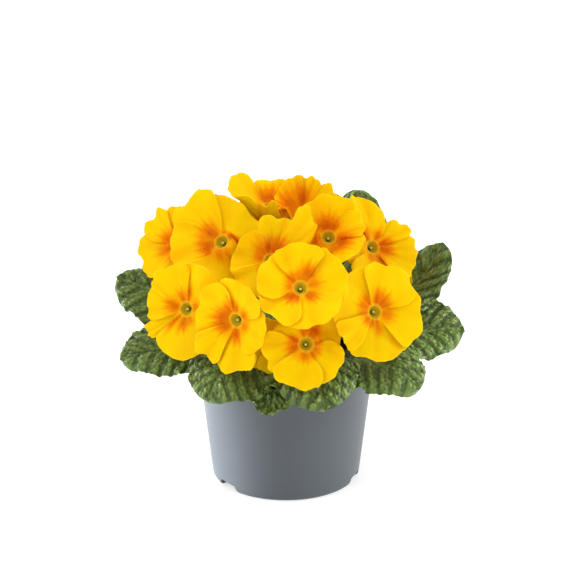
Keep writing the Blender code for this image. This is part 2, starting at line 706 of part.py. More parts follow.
def make_stalk(index, corolla, spec, into, finish):
    """A stalk and its toothed calyx as one closed skin of five-sided rings."""
    foot_radius, foot_azimuth = spec[7], spec[8]
    foot = heading(foot_azimuth) * foot_radius
    foot.z = PEAT_TOP - HOLE_DEPTH
    start = Vector((foot.x, foot.y, PEAT_TOP + 0.0025))
    path = stalk_path(corolla, start)
    side = corolla.place.to_3x3().col[0]
    up = corolla.place.to_3x3().col[1]
    rings = []
    for k in range(STALK_RINGS + 1):
        along = bezier_slope(path, k / STALK_RINGS).normalized()
        level_up = along.cross(side).normalized()
        level_side = level_up.cross(along)
        middle = bezier(path, k / STALK_RINGS)
        rings.append(pentagon(middle, (level_side, level_up), STALK_RADIUS))
    rings.insert(0, [p + (foot - start) for p in rings[0]])
    facing = corolla.facing
    head = corolla.throat - facing * (CALYX_RIM + CALYX_LENGTH)
    swell = corolla.throat - facing * (CALYX_RIM + CALYX_LENGTH * 0.78)
    rim = corolla.throat - facing * CALYX_RIM
    rings[-1] = pentagon(head, (side, up), STALK_RADIUS * 1.25)
    rings.append(pentagon(swell, (side, up), CALYX_RADIUS * 0.86))
    rings.append(pentagon(rim - facing * 0.0012, (side, up), CALYX_RADIUS))
    verts = [p for ring in rings for p in ring]
    faces = [(0, 4, 3, 2, 1)]
    n = PETAL_COUNT
    for r in range(len(rings) - 1):
        for k in range(n):
            a, b = r * n + k, r * n + (k + 1) % n
            faces += [(a, b, b + n), (a, b + n, a + n)]
    outer = (len(rings) - 1) * n
    tips = len(verts)
    verts += pentagon(rim + facing * CALYX_TOOTH, (side, up), CALYX_RADIUS * 1.02)
    dips = len(verts)
    step = math.pi / n
    verts += pentagon(rim - facing * 0.0004, (side, up), CALYX_RADIUS * 0.86, step)
    bore = len(verts)
    verts += pentagon(rim - facing * 0.0012, (side, up), CALYX_BORE)
    floor = len(verts)
    cup_floor = corolla.throat - facing * CALYX_FLOOR
    verts += pentagon(cup_floor, (side, up), CALYX_BORE_FLOOR)
    for k in range(n):
        after = (k + 1) % n
        faces += [
            (outer + k, outer + after, dips + k),
            (outer + k, dips + k, tips + k),
            (dips + k, outer + after, tips + after),
            (bore + k, tips + k, dips + k),
            (bore + k, dips + k, bore + after),
            (dips + k, tips + after, bore + after),
            (floor + k, bore + k, bore + after),
            (floor + k, bore + after, floor + after),
        ]
    faces.append(tuple(floor + k for k in range(n)))
    mesh_object(f"stalk_{index + 1:02d}", verts, faces, into, finish, corolla.place)
    return Cover(verts, [f for f in faces if len(f) == 3])


class Leaf:
    """One leaf's upper surface, as a grid of rows from the petiole's foot to the blade's tip."""

    def __init__(self, index, spec):
        azimuth, foot, shoulder, tip, half_width, lean, over_rim = spec
        self.over_rim = over_rim
        self.out = heading(azimuth)
        self.foot = self.out * foot
        self.foot.z = PEAT_TOP - HOLE_DEPTH
        turn = Matrix.Rotation(math.radians(azimuth), 4, "Z")
        self.place = Matrix.Translation(self.foot) @ turn
        self.half_width = half_width
        self.lean = math.radians(lean)
        rise = (shoulder[1] - PEAT_TOP) * 0.75
        self.path = (
            Vector((foot, PEAT_TOP + 0.003)),
            Vector((foot + 0.002, PEAT_TOP + rise)),
            Vector(shoulder),
            Vector(tip),
        )
        draw = random.Random(500 + index)
        self.phase = draw.uniform(0, math.tau)
        self.wave = draw.uniform(0.8, 1.2)
        self.points = []
        self.weights = []
        self.faces = []
        self.build()

    def width(self, v):
        """Half width of the leaf at a share v of its length."""
        if v <= LEAF_BLADE_SHARE:
            return PETIOLE_HALF_WIDTH
        q = (v - LEAF_BLADE_SHARE) / (1 - LEAF_BLADE_SHARE)
        swell = smoothstep(0.0, 0.50, q)
        close = max(1 - max((q - 0.52) / 0.50, 0.0) ** 2.5, 0.0) ** 0.4
        wide = PETIOLE_HALF_WIDTH + (self.half_width - PETIOLE_HALF_WIDTH) * swell
        return wide * close

    def spot(self, u, v, pucker):
        """The surface at u from -1 to 1 across and v from 0 to 1 along the midrib."""
        wide = self.width(v)
        blade = smoothstep(LEAF_BLADE_SHARE, LEAF_BLADE_SHARE + 0.15, v)
        q = (v - LEAF_BLADE_SHARE) / (1 - LEAF_BLADE_SHARE)
        swept = v - LEAF_SWEEP * blade * abs(u) ** 1.5 * (1 - q) * max(q, 0.0)
        at = bezier(self.path, swept)
        along = bezier_slope(self.path, swept).normalized()
        side = Vector((-self.out.y, self.out.x, 0.0))
        forward = self.out * along.x + Vector((0.0, 0.0, along.y))
        up = forward.cross(side).normalized()
        lean = self.lean * smoothstep(LEAF_BLADE_SHARE, 0.9, v)
        leaned = side * math.cos(lean) + up * math.sin(lean)
        up = forward.cross(leaned).normalized()
        point = self.out * at.x + Vector((0.0, 0.0, at.y)) + leaned * (u * wide)
        droop = -0.20 * self.half_width * u * u * blade
        groove = 0.0012 * (1 - abs(u)) ** 3 * blade
        wave = 0.0016 * blade * abs(u) ** 3 * math.sin(9 * v * self.wave + self.phase + 2 * u)
        return point + up * (droop - groove + wave + pucker * blade)

    def thickness(self, i):
        return LEAF_THICKNESS * (LEAF_THIN_SHARE + (1 - LEAF_THIN_SHARE) * self.weights[i])

    def underside(self):
        return [point + DOWN * self.thickness(i) for i, point in enumerate(self.points)]

    def build(self):
        columns = LEAF_CELLS_ACROSS + 1
        stub = []
        for k in range(columns):
            u = 2 * k / LEAF_CELLS_ACROSS - 1
            side = Vector((-self.out.y, self.out.x, 0.0))
            stub.append(self.foot + side * u * PETIOLE_HALF_WIDTH)
        rows = [stub]
        for j in range(LEAF_PETIOLE_ROWS):
            v = LEAF_BLADE_SHARE * j / LEAF_PETIOLE_ROWS
            rows.append([self.spot(2 * k / LEAF_CELLS_ACROSS - 1, v, 0.0) for k in range(columns)])
        for j in range(LEAF_BLADE_ROWS):
            v = LEAF_BLADE_SHARE + (1 - LEAF_BLADE_SHARE) * j / (LEAF_BLADE_ROWS - 1)
            v = min(v, 0.985)
            bulge = LEAF_PUCKER if j % 2 else -LEAF_PUCKER * 0.3
            row = []
            for k in range(columns):
                u = 2 * k / LEAF_CELLS_ACROSS - 1
                pucker = bulge * math.sin(math.pi * abs(u)) if abs(u) < 1 else -bulge * 0.5
                tooth = LEAF_TOOTH / self.half_width * (1 if j % 2 else -1)
                row.append(self.spot(u * (1 + tooth * (abs(u) == 1)), v, pucker))
            rows.append(row)
        for j, row in enumerate(rows):
            for k, point in enumerate(row):
                u = abs(2 * k / LEAF_CELLS_ACROSS - 1)
                petiole = j <= LEAF_PETIOLE_ROWS
                rib = (1 - u) ** 2 * (1 - j / len(rows)) * 0.5
                self.points.append(point)
                self.weights.append(1.0 if petiole else rib)
        for j in range(len(rows) - 1):
            for k in range(LEAF_CELLS_ACROSS):
                a = j * columns + k
                b, c, d = a + columns, a + columns + 1, a + 1
                if k < LEAF_CELLS_ACROSS / 2:
                    self.faces += [(a, c, d), (a, b, c)]
                else:
                    self.faces += [(a, b, d), (d, b, c)]


def lift_over_rim(leaf, grip):
    """Raises a leaf where it would touch the pot's rim."""
    own = BVHTree.FromPolygons(leaf.points, leaf.faces)
    lifts = np.zeros(len(leaf.points))
    for step in range(240):
        for radius in (POT_RIM_RADIUS + 0.0015, POT_RIM_RADIUS - POT_COLLAR_STEP - 0.0015):
            above = heading(1.5 * step) * radius + Vector((0.0, 0.0, 0.2))
            hit = own.ray_cast(above, DOWN, 0.2)
            if hit[0] is None:
                continue
            face = leaf.faces[hit[2]]
            thickness = max(leaf.thickness(i) for i in face)
            least = POT_HEIGHT + leaf.over_rim + thickness
            for i in face:
                lifts[i] = max(lifts[i], least - hit[0].z)
    lifts = spread_bend(leaf.points, lifts)
    for i, lift in enumerate(lifts):
        leaf.points[i].z += float(lift) * grip[i]


def settle_leaf(leaf, covers):
    """Bends a leaf over the rim and under the petals, stalks and leaves above it."""
    grip = []
    for point in leaf.points:
        rise = (point - leaf.foot).length - HOLE_DEPTH
        grip.append(smoothstep(0.004, 0.030, rise))
    for _ in range(3):
        bend_under(leaf.points, leaf.faces, covers, ray_from_ground, LEAF_CLEARANCE, grip)
        lift_over_rim(leaf, grip)


def make_leaves(into, finish, covers):
    made = []
    for index, spec in enumerate(LEAVES):
        leaf = Leaf(index, spec)
        settle_leaf(leaf, covers)
        covers.append(Cover(leaf.underside(), leaf.faces))
        name = f"leaf_{index + 1:02d}"
        obj = mesh_object(name, leaf.points, leaf.faces, into, finish, leaf.place)
        group = obj.vertex_groups.new(name="thick")
        for i, weight in enumerate(leaf.weights):
            group.add([i], weight, "REPLACE")
        shell = solidify(obj, LEAF_THICKNESS, -1.0)
        shell.vertex_group = group.name
        shell.thickness_vertex_group = LEAF_THIN_SHARE
        made.append(leaf)
    return made


def make_hole_cutters(leaves):
    cutters = collection("peat_cutters")
    for index, leaf in enumerate(leaves):
        middle = leaf.place @ Matrix.Translation((LEAF_THICKNESS / 2, 0.0, 0.0))
        bm = hole_cutter(middle, PETIOLE_HALF_WIDTH + GAP, LEAF_THICKNESS / 2 + GAP, 4)
        cutter_object(f"petiole_hole_{index}", bm, cutters)
    for index, spec in enumerate(BLOOMS):
        foot = heading(spec[8]) * spec[7]
        foot.z = PEAT_TOP - HOLE_DEPTH
        width = STALK_RADIUS + GAP * 1.2
        bm = hole_cutter(Matrix.Translation(foot), width, width, 8)
        cutter_object(f"stalk_hole_{index}", bm, cutters)
    return cutters


def main():
    clear_scene()
    plant = collection("potted_primrose")
    yellow = material("petal_yellow", (0.98, 0.66, 0.01), 0.45)
    green = material("leaf_green", (0.07, 0.17, 0.04), 0.50)
    pale_green = material("stalk_green", (0.28, 0.42, 0.12), 0.55)
    grey = material("pot_grey", (0.17, 0.20, 0.24), 0.45)
    brown = material("peat_brown", (0.05, 0.03, 0.02), 0.95)
    make_pot(plant, grey)
    corollas, covers = make_blooms(plant, yellow)
    for index, (corolla, spec) in enumerate(zip(corollas, BLOOMS)):
        covers.append(make_stalk(index, corolla, spec, plant, pale_green))
    leaves = make_leaves(plant, green, covers)
    make_peat(plant, brown, make_hole_cutters(leaves))
    root = bpy.data.objects.new("primrose_root", None)
    plant.objects.link(root)
    for obj in list(plant.objects):
        if obj is not root:
            obj.parent = root


main()
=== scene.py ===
"""The looks of a potted primrose: flared yellow blooms, crinkled leaves and a moulded grey pot.

Lengths are in metres, in the frame of the plant's solids. The tables of blooms and leaves repeat those
of the solids, apart from a few petals of blooms 8 and 12, and each piece here takes the place of its
solid.
"""

import itertools
import json
import math
import random

import bmesh
import bpy
import numpy as np
from mathutils import Matrix, Vector
from mathutils.bvhtree import BVHTree

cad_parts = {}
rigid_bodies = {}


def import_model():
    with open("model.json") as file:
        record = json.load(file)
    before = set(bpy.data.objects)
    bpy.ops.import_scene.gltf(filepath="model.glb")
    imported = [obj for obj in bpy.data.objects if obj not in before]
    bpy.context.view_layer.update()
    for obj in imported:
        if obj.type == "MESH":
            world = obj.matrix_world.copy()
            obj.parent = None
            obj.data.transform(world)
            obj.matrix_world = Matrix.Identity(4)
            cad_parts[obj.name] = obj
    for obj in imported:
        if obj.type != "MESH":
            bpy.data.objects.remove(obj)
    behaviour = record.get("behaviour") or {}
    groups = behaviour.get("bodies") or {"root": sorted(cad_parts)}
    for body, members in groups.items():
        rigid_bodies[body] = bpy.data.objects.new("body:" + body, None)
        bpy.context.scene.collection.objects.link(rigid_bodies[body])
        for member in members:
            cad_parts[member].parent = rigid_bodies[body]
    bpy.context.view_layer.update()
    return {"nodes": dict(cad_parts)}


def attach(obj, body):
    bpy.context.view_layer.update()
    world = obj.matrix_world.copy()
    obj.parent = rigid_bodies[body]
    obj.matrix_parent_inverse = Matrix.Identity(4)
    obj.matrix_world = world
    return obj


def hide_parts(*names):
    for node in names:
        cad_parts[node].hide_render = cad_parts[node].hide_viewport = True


# Pot: a thin moulded shell with a collar round its rim, a foot ring and a raised floor
POT_HEIGHT = 0.078
POT_RIM_RADIUS = 0.053
POT_COLLAR_HEIGHT = 0.007
POT_COLLAR_STEP = 0.0016
POT_SHOULDER_RADIUS = 0.0510
POT_BASE_RADIUS = 0.0436
POT_WALL = 0.0010
POT_FOOT_OUTER = 0.0418
POT_FOOT_INNER = 0.0365
POT_FOOT_CURVE = 0.0060
POT_FLOOR = 0.0040
POT_STEPS = 144
NOTCH_AZIMUTHS = (218, 340, 98)
NOTCH_HEIGHT = 0.0045
NOTCH_WIDTH = 0.0200
NOTCH_TOP_SHARE = 0.62
NOTCH_DEPTH = 0.0110
NOTCH_ROUND = 0.0012
DRAIN_COUNT = 6
DRAIN_RADIUS = 0.0030
DRAIN_CIRCLE = 0.0230

# Peat: fills the pot to a little under its rim
GAP = 0.0004
PEAT_TOP = 0.0710
PEAT_MOUND = 0.0012
HOLE_DEPTH = 0.0080
PEAT_RINGS = 40
PEAT_STEPS = 120
PEAT_CRUMB = 0.0007

# Petals: five to a bloom
PETAL_COUNT = 5
PETAL_THICKNESS = 0.00032
PETAL_SLIT = math.radians(1.2)
PETAL_MEETS_AT = 0.20
PETAL_LAPS_AT = 0.60
PETAL_EDGE_LIFT = 0.0010
PETAL_CREASE = 0.0011
PETAL_FOLD = 0.0008
PETAL_ROLL = 0.0009
PETAL_ROUNDING = 0.10
PETAL_NOTCH = 0.05
PETAL_SHOULDER = 0.13
PETAL_BOW = math.radians(5.0)
EYE_RADIUS = 0.0064
MOUTH_RADIUS = 0.0028
TUBE_RADIUS = 0.0013
TUBE_LENGTH = 0.0130
PETAL_ACROSS = 24
PETAL_ALONG = 22
COARSE_ACROSS = 6
COARSE_ROWS = (0.20, 0.45, 0.72, 1.0)

# Waves round a bloom's dish, and ruffles along a petal's outline and across its rim: how many, and how
# high in metres or as a share of the petal's length
DISH_WAVES = ((2, 0.0011), (3, 0.0010), (5, 0.0008), (10, 0.0004))
OUTLINE_RUFFLES = ((7.0, 0.019), (13.0, 0.012), (29.0, 0.005))
RIM_RUFFLES = ((9.0, 0.0006), (17.0, 0.0004))

# The eye inside the petals' feet: rings of a radius and how deep they lie under the dish
EYE_LIP_RADIUS = 0.0036
EYE_LIP_RINGS = 10
EYE_RINGS = (
    (0.0034, 0.0001),
    (0.0031, 0.0005),
    (0.0027, 0.0009),
    (0.0022, 0.0013),
    (0.0017, 0.0017),
    (TUBE_RADIUS, 0.0024),
    (TUBE_RADIUS, 0.0060),
    (TUBE_RADIUS, TUBE_LENGTH),
)
PISTIL_RADIUS = 0.0009
PISTIL_DEPTH = 0.0008
STYLE_RADIUS = 0.0002
STYLE_LENGTH = 0.0090
STYLE_DEPTH = 0.0054

# The values at a bloom's points that its colours are mixed by, among them the painted shade of its
# furrows and the painted highlight on its rims
BLOOM_VALUES = ("flare", "edge", "ring", "throat", "streak", "crease")

# Calyx and stalk
CALYX_RIM = 0.0042
CALYX_RADIUS = 0.0043
CALYX_BORE = 0.0036
CALYX_BORE_FLOOR = 0.0027
CALYX_LENGTH = 0.0125
CALYX_TOOTH = 0.0018
CALYX_RIM_ANGLED = 0.06
STALK_RADIUS = 0.0012
STALK_RINGS = 18
STALK_SIDES = 20

# Rings of the calyx, from the stalk up: how far down it each is as a share of its length, its radius,
# and how far its five angles stand out
CALYX_RINGS = (
    (0.95, 0.0021, 0.04),
    (0.86, 0.0030, 0.08),
    (0.70, 0.0036, 0.11),
    (0.50, 0.0039, 0.12),
    (0.25, 0.0041, 0.12),
    (0.10, CALYX_RADIUS, 0.10),
)

# Leaves: crinkled blades on short channelled petioles. The cells and rows are those of the solids.
LEAF_THICKNESS = 0.0026
LEAF_THIN_SHARE = 0.22
LEAF_BLADE_SHARE = 0.30
LEAF_CELLS_ACROSS = 6
LEAF_BLADE_ROWS = 9
LEAF_LAST_ROW = 0.985
LEAF_PUCKER = 0.0013
LEAF_TOOTH = 0.0012
LEAF_SWEEP = 0.30
LEAF_DROOP = 0.20
LEAF_GROOVE = 0.0012
LEAF_WAVE = 0.0016
PETIOLE_HALF_WIDTH = 0.0022
LEAF_INNER_RING = 0.0165
LEAF_OUTER_RING = 0.0205
SAME_POINT = 0.00006

# The leaves' fine surface: its grid, its teeth and ripples along the edge, its veins and the cells
# between them, and how far the tips of some leaves stand above their solids
LEAF_ACROSS = 80
LEAF_ALONG = 92
LEAF_STEM_ROWS = 8
TOOTH_LENGTH = 0.0027
TOOTH_SHARE = 0.045
RIPPLE_LENGTH = 0.0046
RIPPLE_HEIGHT = 0.0012
VEIN_SPACING = 0.0064
VEIN_SLANT = 0.62
VEIN_CURVE = 7.0
COARSE_CELL = 0.0031
FINE_CELL = 0.0019
RELIEF_MIDDLE = 0.0011
LEAF_LIFTS = {1: 0.0045, 3: 0.0035}

# What lies over what, seen from the plant's heart: covered petals are bent clear by these distances,
# and shortened until they stop clear of the stalks above
HEART = Vector((0.0, 0.0, 0.085))
BLOOM_CLEARANCE = 0.0021
STALK_CLEARANCE = 0.0060
BEND_SLOPE = 0.55
BEND_EVEN_WITHIN = 0.0045
BEND_ROUNDS = 5
BEND_ENOUGH = 0.00005
TRIM_ROUNDS = 12
TRIM_SHARE = 0.95
TRIM_DEPTHS = (0.0, 0.004, 0.008)

# Blooms from the top layer down: throat (x, y, z), facing azimuth and elevation in degrees, radius,
# cup depth, turn of the first petal and overlap of two petals in degrees, and the stalk's foot as
# radius and azimuth.
BLOOMS = (
    ((0.008, -0.057, 0.136), 275, 42, 0.0258, 0.0065, 94, 15, 0.0052, 284),
    ((0.049, -0.046, 0.118), 296, 22, 0.0285, 0.0045, 66, 15, 0.0104, 317),
    ((-0.0085, -0.020, 0.1385), 266, 38, 0.0270, 0.0060, 72, 15, 0.0052, 224),
    ((0.024, -0.010, 0.149), 277, 45, 0.0215, 0.0115, 93, 12, 0.0052, 344),
    ((-0.027, -0.058, 0.118), 236, 6, 0.0275, 0.0065, 60, 15, 0.0104, 237),
    ((-0.0555, -0.036, 0.116), 243, 18, 0.0272, 0.0045, 90, 15, 0.0104, 210),
    ((-0.036, -0.012, 0.147), 242, 38, 0.0290, 0.0060, 57, 9, 0.0052, 164),
    ((0.049, 0.002, 0.139), 302, 32, 0.0260, 0.0060, 20, 4, 0.0104, 4),
    ((0.011, -0.066, 0.1066), 272, 25, 0.0245, 0.0040, 46, 14, 0.0104, 287),
    ((-0.0620, 0.004, 0.1395), 224, 26, 0.0245, 0.0060, 100, 8, 0.0104, 178),
    ((0.0095, 0.020, 0.1525), 282, 52, 0.0212, 0.0090, 0, 10, 0.0052, 74),
    ((-0.0095, 0.024, 0.1550), 288, 72, 0.0215, 0.0070, 60, 8, 0.0, 0),
    ((0.032, 0.050, 0.138), 52, 40, 0.0230, 0.0060, 10, 14, 0.0104, 58),
    ((-0.046, 0.038, 0.136), 142, 36, 0.0245, 0.0050, 40, 14, 0.0104, 144),
    ((0.058, 0.025, 0.122), 24, 20, 0.0205, 0.0050, 85, 14, 0.0104, 30),
    ((-0.008, 0.062, 0.134), 98, 34, 0.0245, 0.0050, 55, 14, 0.0104, 102),
    ((-0.010, -0.050, 0.103), 262, 4, 0.0175, 0.0030, 65, 14, 0.0104, 262),
)

# The blooms that show: the angle in degrees where each petal starts, whether it lies over the petal
# before it there, its length as a share of the bloom's radius, how far its tip stands up more than
# the dish, and how much longer it is at its far edge.
NONE = (0, 0, 0, 0, 0)
PETALS = {
    1: ((47, 134, 204, 265, 347), (1, 0, 0, 0, 0), (0.96, 0.97, 1, 1, 1.02), NONE, NONE),
    2: ((4, 105, 180, 232, 295), (1, 0, 1, 0, 1), (0.97, 0.95, 0.97, 0.98, 1), NONE, NONE),
    3: ((22, 66, 98, 195, 290), (1, 0, 1, 1, 1), (1.22, 0.98, 0.8, 0.9, 0.9), NONE,
        (0.14, 0, 0.12, 0, 0)),
    4: ((48, 131, 200, 270, 345), (0, 1, 1, 0, 1), (1.03, 0.85, 0.95, 0.95, 0.93), NONE, NONE),
    5: ((19, 106, 204, 258, 297), (1, 1, 1, 0, 1), (0.88, 0.9, 1.02, 1.04, 0.8), NONE, NONE),
    6: ((85, 162, 212, 225, 351), (1, 0, 0, 1, 1), (0.96, 0.9, 1.01, 1.03, 1), NONE,
        (0, -0.04, 0, 0, 0)),
    7: ((41, 112, 162, 227, 308), (1, 1, 1, 1, 1), (1.04, 1.16, 1.06, 1, 0.74),
        (-0.005, -0.001, 0, 0, 0), (0.02, 0, 0, 0, 0)),
    8: ((1, 40, 110, 200, 290), (1, 1, 0, 1, 1), (0.9, 0.97, 1.08, 1, 1.04), NONE,
        (-0.15, 0.34, 0, 0, 0)),
    9: ((4, 94, 157, 210, 296), (0, 1, 1, 1, 0), (0.95, 0.8, 1.02, 1.05, 0.97), NONE, NONE),
    10: ((50, 120, 185, 250, 330), (1, 1, 0, 1, 1), (0.95, 0.98, 1.03, 1.02, 1), NONE, NONE),
    11: ((12, 48, 82, 150, 235), (0, 0, 1, 1, 1), (0.98, 0.96, 0.92, 0.56, 0.8),
        (0.002, 0.002, 0.003, 0.002, 0), (0.06, 0.08, -0.08, 0, 0)),
    12: ((40, 104, 210, 253, 310), (0, 1, 1, 1, 1), (0.96, 1.22, 0.8, 0.62, 0.52),
        (0.001, 0.002, 0.01, 0.024, 0), NONE),
}

# Where a bloom's rim stands up once it is tucked under its neighbours: the middle and half width as
# angles in degrees, and the height
STANDS = {11: (200, 24, 0.009), 12: (244, 30, 0.0105)}

# The orange flares of the blooms that show: middle and half width as angles in degrees, reach from
# the bloom's middle in millimetres, and strength. For each millimetre of its reach a flare is full out
# to FLARE_FULL metres and ends at FLARE_END. FLARE_GLOW is the glow that lies under all flares.
FLARE_FULL = 0.00056
FLARE_END = 0.00138
FLARE_GLOW = 0.22
FLARES = {
    1: ((62, 17, 13, 1), (95, 12, 9, 0.5), (130, 16, 9.5, 0.75), (172, 18, 9, 0.4), (224, 16, 11, 0.95),
        (251, 7, 8.5, 0.8), (305, 9, 10, 0.8), (325, 12, 11, 0.75), (15, 14, 11.5, 0.55)),
    2: ((115, 8, 11.5, 0.75), (72, 12, 12.5, 0.8), (42, 12, 11.5, 0.8), (20, 8, 9.5, 0.9),
        (342, 22, 12, 0.55), (272, 10, 12.5, 0.8), (245, 9, 8.5, 0.8), (213, 14, 9.5, 0.55),
        (176, 10, 9.5, 0.55), (143, 13, 11, 0.6)),
    3: ((72, 20, 14, 0.95), (128, 18, 13, 0.55), (104, 7, 11, 1), (165, 15, 10, 0.5), (40, 15, 11, 0.6),
        (230, 20, 9, 0.5), (320, 20, 9, 0.5)),
    4: ((100, 26, 12, 1), (60, 14, 10, 0.8), (338, 24, 12.5, 1), (185, 20, 8.5, 0.6),
        (235, 24, 7.5, 0.4), (290, 15, 8, 0.6)),
    5: ((186, 17, 14, 0.85), (160, 14, 11, 0.8), (132, 10, 10.5, 0.8), (107, 9, 12.5, 0.65),
        (88, 8, 9.5, 0.95), (36, 16, 9.5, 0.7), (340, 20, 9, 0.5), (218, 15, 11.5, 0.85),
        (276, 16, 12.5, 0.85)),
    6: ((178, 20, 12.5, 0.75), (115, 13, 10.5, 0.7), (82, 8, 12, 0.7), (233, 6, 15, 0.8),
        (268, 13, 12, 0.85), (300, 12, 9, 0.5), (20, 18, 8.5, 0.5)),
    7: ((45, 17, 12, 0.9), (150, 20, 14.5, 0.9), (206, 20, 13.5, 0.95), (272, 18, 9, 0.5),
        (315, 14, 8.5, 0.4), (95, 10, 8.5, 0.5)),
    8: ((50, 12, 11, 0.6), (108, 14, 12, 0.8), (335, 16, 13, 0.9), (8, 11, 12, 0.8), (283, 14, 12, 0.8),
        (240, 14, 9, 0.5)),
    9: ((55, 20, 13, 1), (5, 10, 9.5, 0.8), (158, 12, 9.5, 1), (194, 17, 11, 0.8), (262, 20, 10, 0.5),
        (302, 8, 8.5, 0.8), (330, 15, 9.5, 0.6), (103, 9, 11.5, 0.7)),
    10: ((165, 18, 12, 0.7), (215, 16, 13, 0.7), (120, 15, 10, 0.5), (270, 18, 10, 0.5),
        (60, 15, 9, 0.5), (330, 15, 9, 0.5)),
    11: ((30, 14, 11, 0.8), (82, 17, 14.5, 1), (140, 24, 14.5, 1), (200, 20, 11, 0.9),
        (270, 25, 10, 0.8)),
    12: ((62, 20, 14, 1), (95, 16, 13, 0.9), (25, 20, 14, 0.9), (150, 14, 8, 0.3), (215, 18, 8, 0.5),
        (285, 20, 8, 0.6)),
    17: (),
}

# Leaves from the top layer down: azimuth in degrees, foot radius, shoulder and tip of the midrib as
# (radius, height), half width, and the blade's lean about its midrib in degrees.
LEAVES = (
    (20, LEAF_INNER_RING, (0.072, 0.104), (0.097, 0.134), 0.0265, 32),
    (171, LEAF_INNER_RING, (0.070, 0.106), (0.099, 0.117), 0.0255, -30),
    (59, LEAF_INNER_RING, (0.074, 0.092), (0.083, 0.148), 0.0305, 0),
    (118, LEAF_INNER_RING, (0.074, 0.092), (0.084, 0.141), 0.0235, 0),
    (285, LEAF_OUTER_RING, (0.060, 0.100), (0.084, 0.075), 0.0275, 4),
    (239, LEAF_OUTER_RING, (0.060, 0.100), (0.085, 0.077), 0.0265, -4),
    (323, LEAF_OUTER_RING, (0.064, 0.098), (0.094, 0.077), 0.0265, 10),
    (2, LEAF_OUTER_RING, (0.068, 0.098), (0.104, 0.088), 0.0265, 32),
    (198, LEAF_OUTER_RING, (0.062, 0.100), (0.099, 0.084), 0.0275, -24),
    (90, LEAF_OUTER_RING, (0.060, 0.096), (0.082, 0.082), 0.0265, 0),
    (38, LEAF_OUTER_RING, (0.064, 0.098), (0.094, 0.082), 0.0255, 0),
    (145, LEAF_OUTER_RING, (0.064, 0.098), (0.094, 0.082), 0.0265, 0),
    (264, LEAF_OUTER_RING, (0.060, 0.094), (0.076, 0.079), 0.0150, 0),
)

# Camera and studio
TARGET = Vector((0.0, 0.0, 0.1163))
CAMERA_DISTANCE = 1.4
CAMERA_ELEVATION = 20.5
LENS = 153.2
FLOOR_REACH = 12.0
FLOOR_DROP = 0.0001

# Each light: place, width, power in watts, and the starts of the names of the pieces that it falls
# on, where that isn't all. The side lights pass by the petals, which they would wash out.
LIGHTS = (
    ("key", (-1.1, -0.6, 1.0), 0.5, 4.0, ()),
    ("fill", (1.3, 0.05, 0.40), 0.9, 5.0, ()),
    ("left", (-1.25, 0.38, 0.32), 0.9, 26.0, ("pot", "leaf", "stalk")),
    ("right", (1.3, -0.10, 0.36), 0.9, 19.0, ("pot", "leaf", "stalk")),
    ("pot left", (-1.25, 0.22, 0.26), 0.9, 110.0, ("pot",)),
)

# Ramps of colour: places from 0 to 1, and the colour at each
PETAL_RAMP = (
    (0.0, (0.98, 0.545, 0.0)),
    (0.22, (0.96, 0.38, 0.0)),
    (0.50, (0.86, 0.20, 0.0)),
    (1.0, (0.60, 0.085, 0.0)),
)
# The leaves' green, painted dark as shade in the hollows and pale as highlight on the puffed cells
LEAF_SHADE_RAMP = (
    (0.12, (0.022, 0.042, 0.002)),
    (0.45, (0.108, 0.168, 0.020)),
    (0.80, (0.172, 0.242, 0.062)),
    (1.0, (0.285, 0.355, 0.165)),
)
STALK_RAMP = ((0.3, (0.09, 0.17, 0.02)), (0.7, (0.20, 0.31, 0.06)))
PISTIL_RAMP = ((0.3, (0.46, 0.38, 0.05)), (0.7, (0.70, 0.60, 0.14)))
POT_RAMP = ((0.3, (0.035, 0.044, 0.055)), (0.7, (0.041, 0.051, 0.062)))
PEAT_RAMP = ((0.3, (0.010, 0.005, 0.003)), (0.55, (0.035, 0.018, 0.010)), (0.8, (0.10, 0.055, 0.028)))

UP = Vector((0.0, 0.0, 1.0))


def smooth(low, high, x):
    t = np.clip((x - low) / (high - low), 0.0, 1.0)
    return t * t * (3.0 - 2.0 * t)


def hump(x, width):
    """A bell from 1 down to 0 on both sides of zero."""
    return np.exp(-((x / width) ** 2))


def unit(vectors):
    return vectors / np.linalg.norm(vectors, axis=0)


def heading(azimuth, elevation=0.0):
    a = math.radians(azimuth)
    e = math.radians(elevation)
    return Vector((math.cos(a) * math.cos(e), math.sin(a) * math.cos(e), math.sin(e)))


def bezier(points, t):
    a, b, c, d = points
    s = 1.0 - t
    return a * s**3 + b * 3 * s * s * t + c * 3 * s * t * t + d * t**3


def bezier_slope(points, t):
    a, b, c, d = points
    s = 1.0 - t
    return (b - a) * 3 * s * s + (c - b) * 6 * s * t + (d - c) * 3 * t * t


# Materials


def set_inputs(made, values):
    for name, value in values.items():
        made.inputs[name].default_value = value


def new_material(name, values):
    """A material with constants set on its shader."""
    made = bpy.data.materials.new(name)
    made.use_nodes = True
    shader = made.node_tree.nodes["Principled BSDF"]
    set_inputs(shader, values)
    return made, made.node_tree, shader


def node(tree, kind, **values):
    made = tree.nodes.new(kind)
    for key, value in values.items():
        setattr(made, key, value)
    return made


def attribute(tree, name):
    return node(tree, "ShaderNodeAttribute", attribute_name=name).outputs["Fac"]


def texture(tree, kind, output, inputs, **values):
    """A procedural texture laid out in the piece's own coordinates."""
    made = node(tree, kind, **values)
    set_inputs(made, inputs)
    place = node(tree, "ShaderNodeTexCoord")
    tree.links.new(place.outputs["Object"], made.inputs["Vector"])
    return made.outputs[output]


def noise(tree, scale, detail=2.0, roughness=0.5):
    inputs = {"Scale": scale, "Detail": detail, "Roughness": roughness}
    return texture(tree, "ShaderNodeTexNoise", "Fac", inputs)


def domes(tree, scale):
    """Domed cells: how far in from its cell's edge a point is."""
    inputs = {"Scale": scale, "Smoothness": 0.4}
    distance = texture(tree, "ShaderNodeTexVoronoi", "Distance", inputs, feature="SMOOTH_F1")
    return math_node(tree, "SUBTRACT", 1.0, distance)


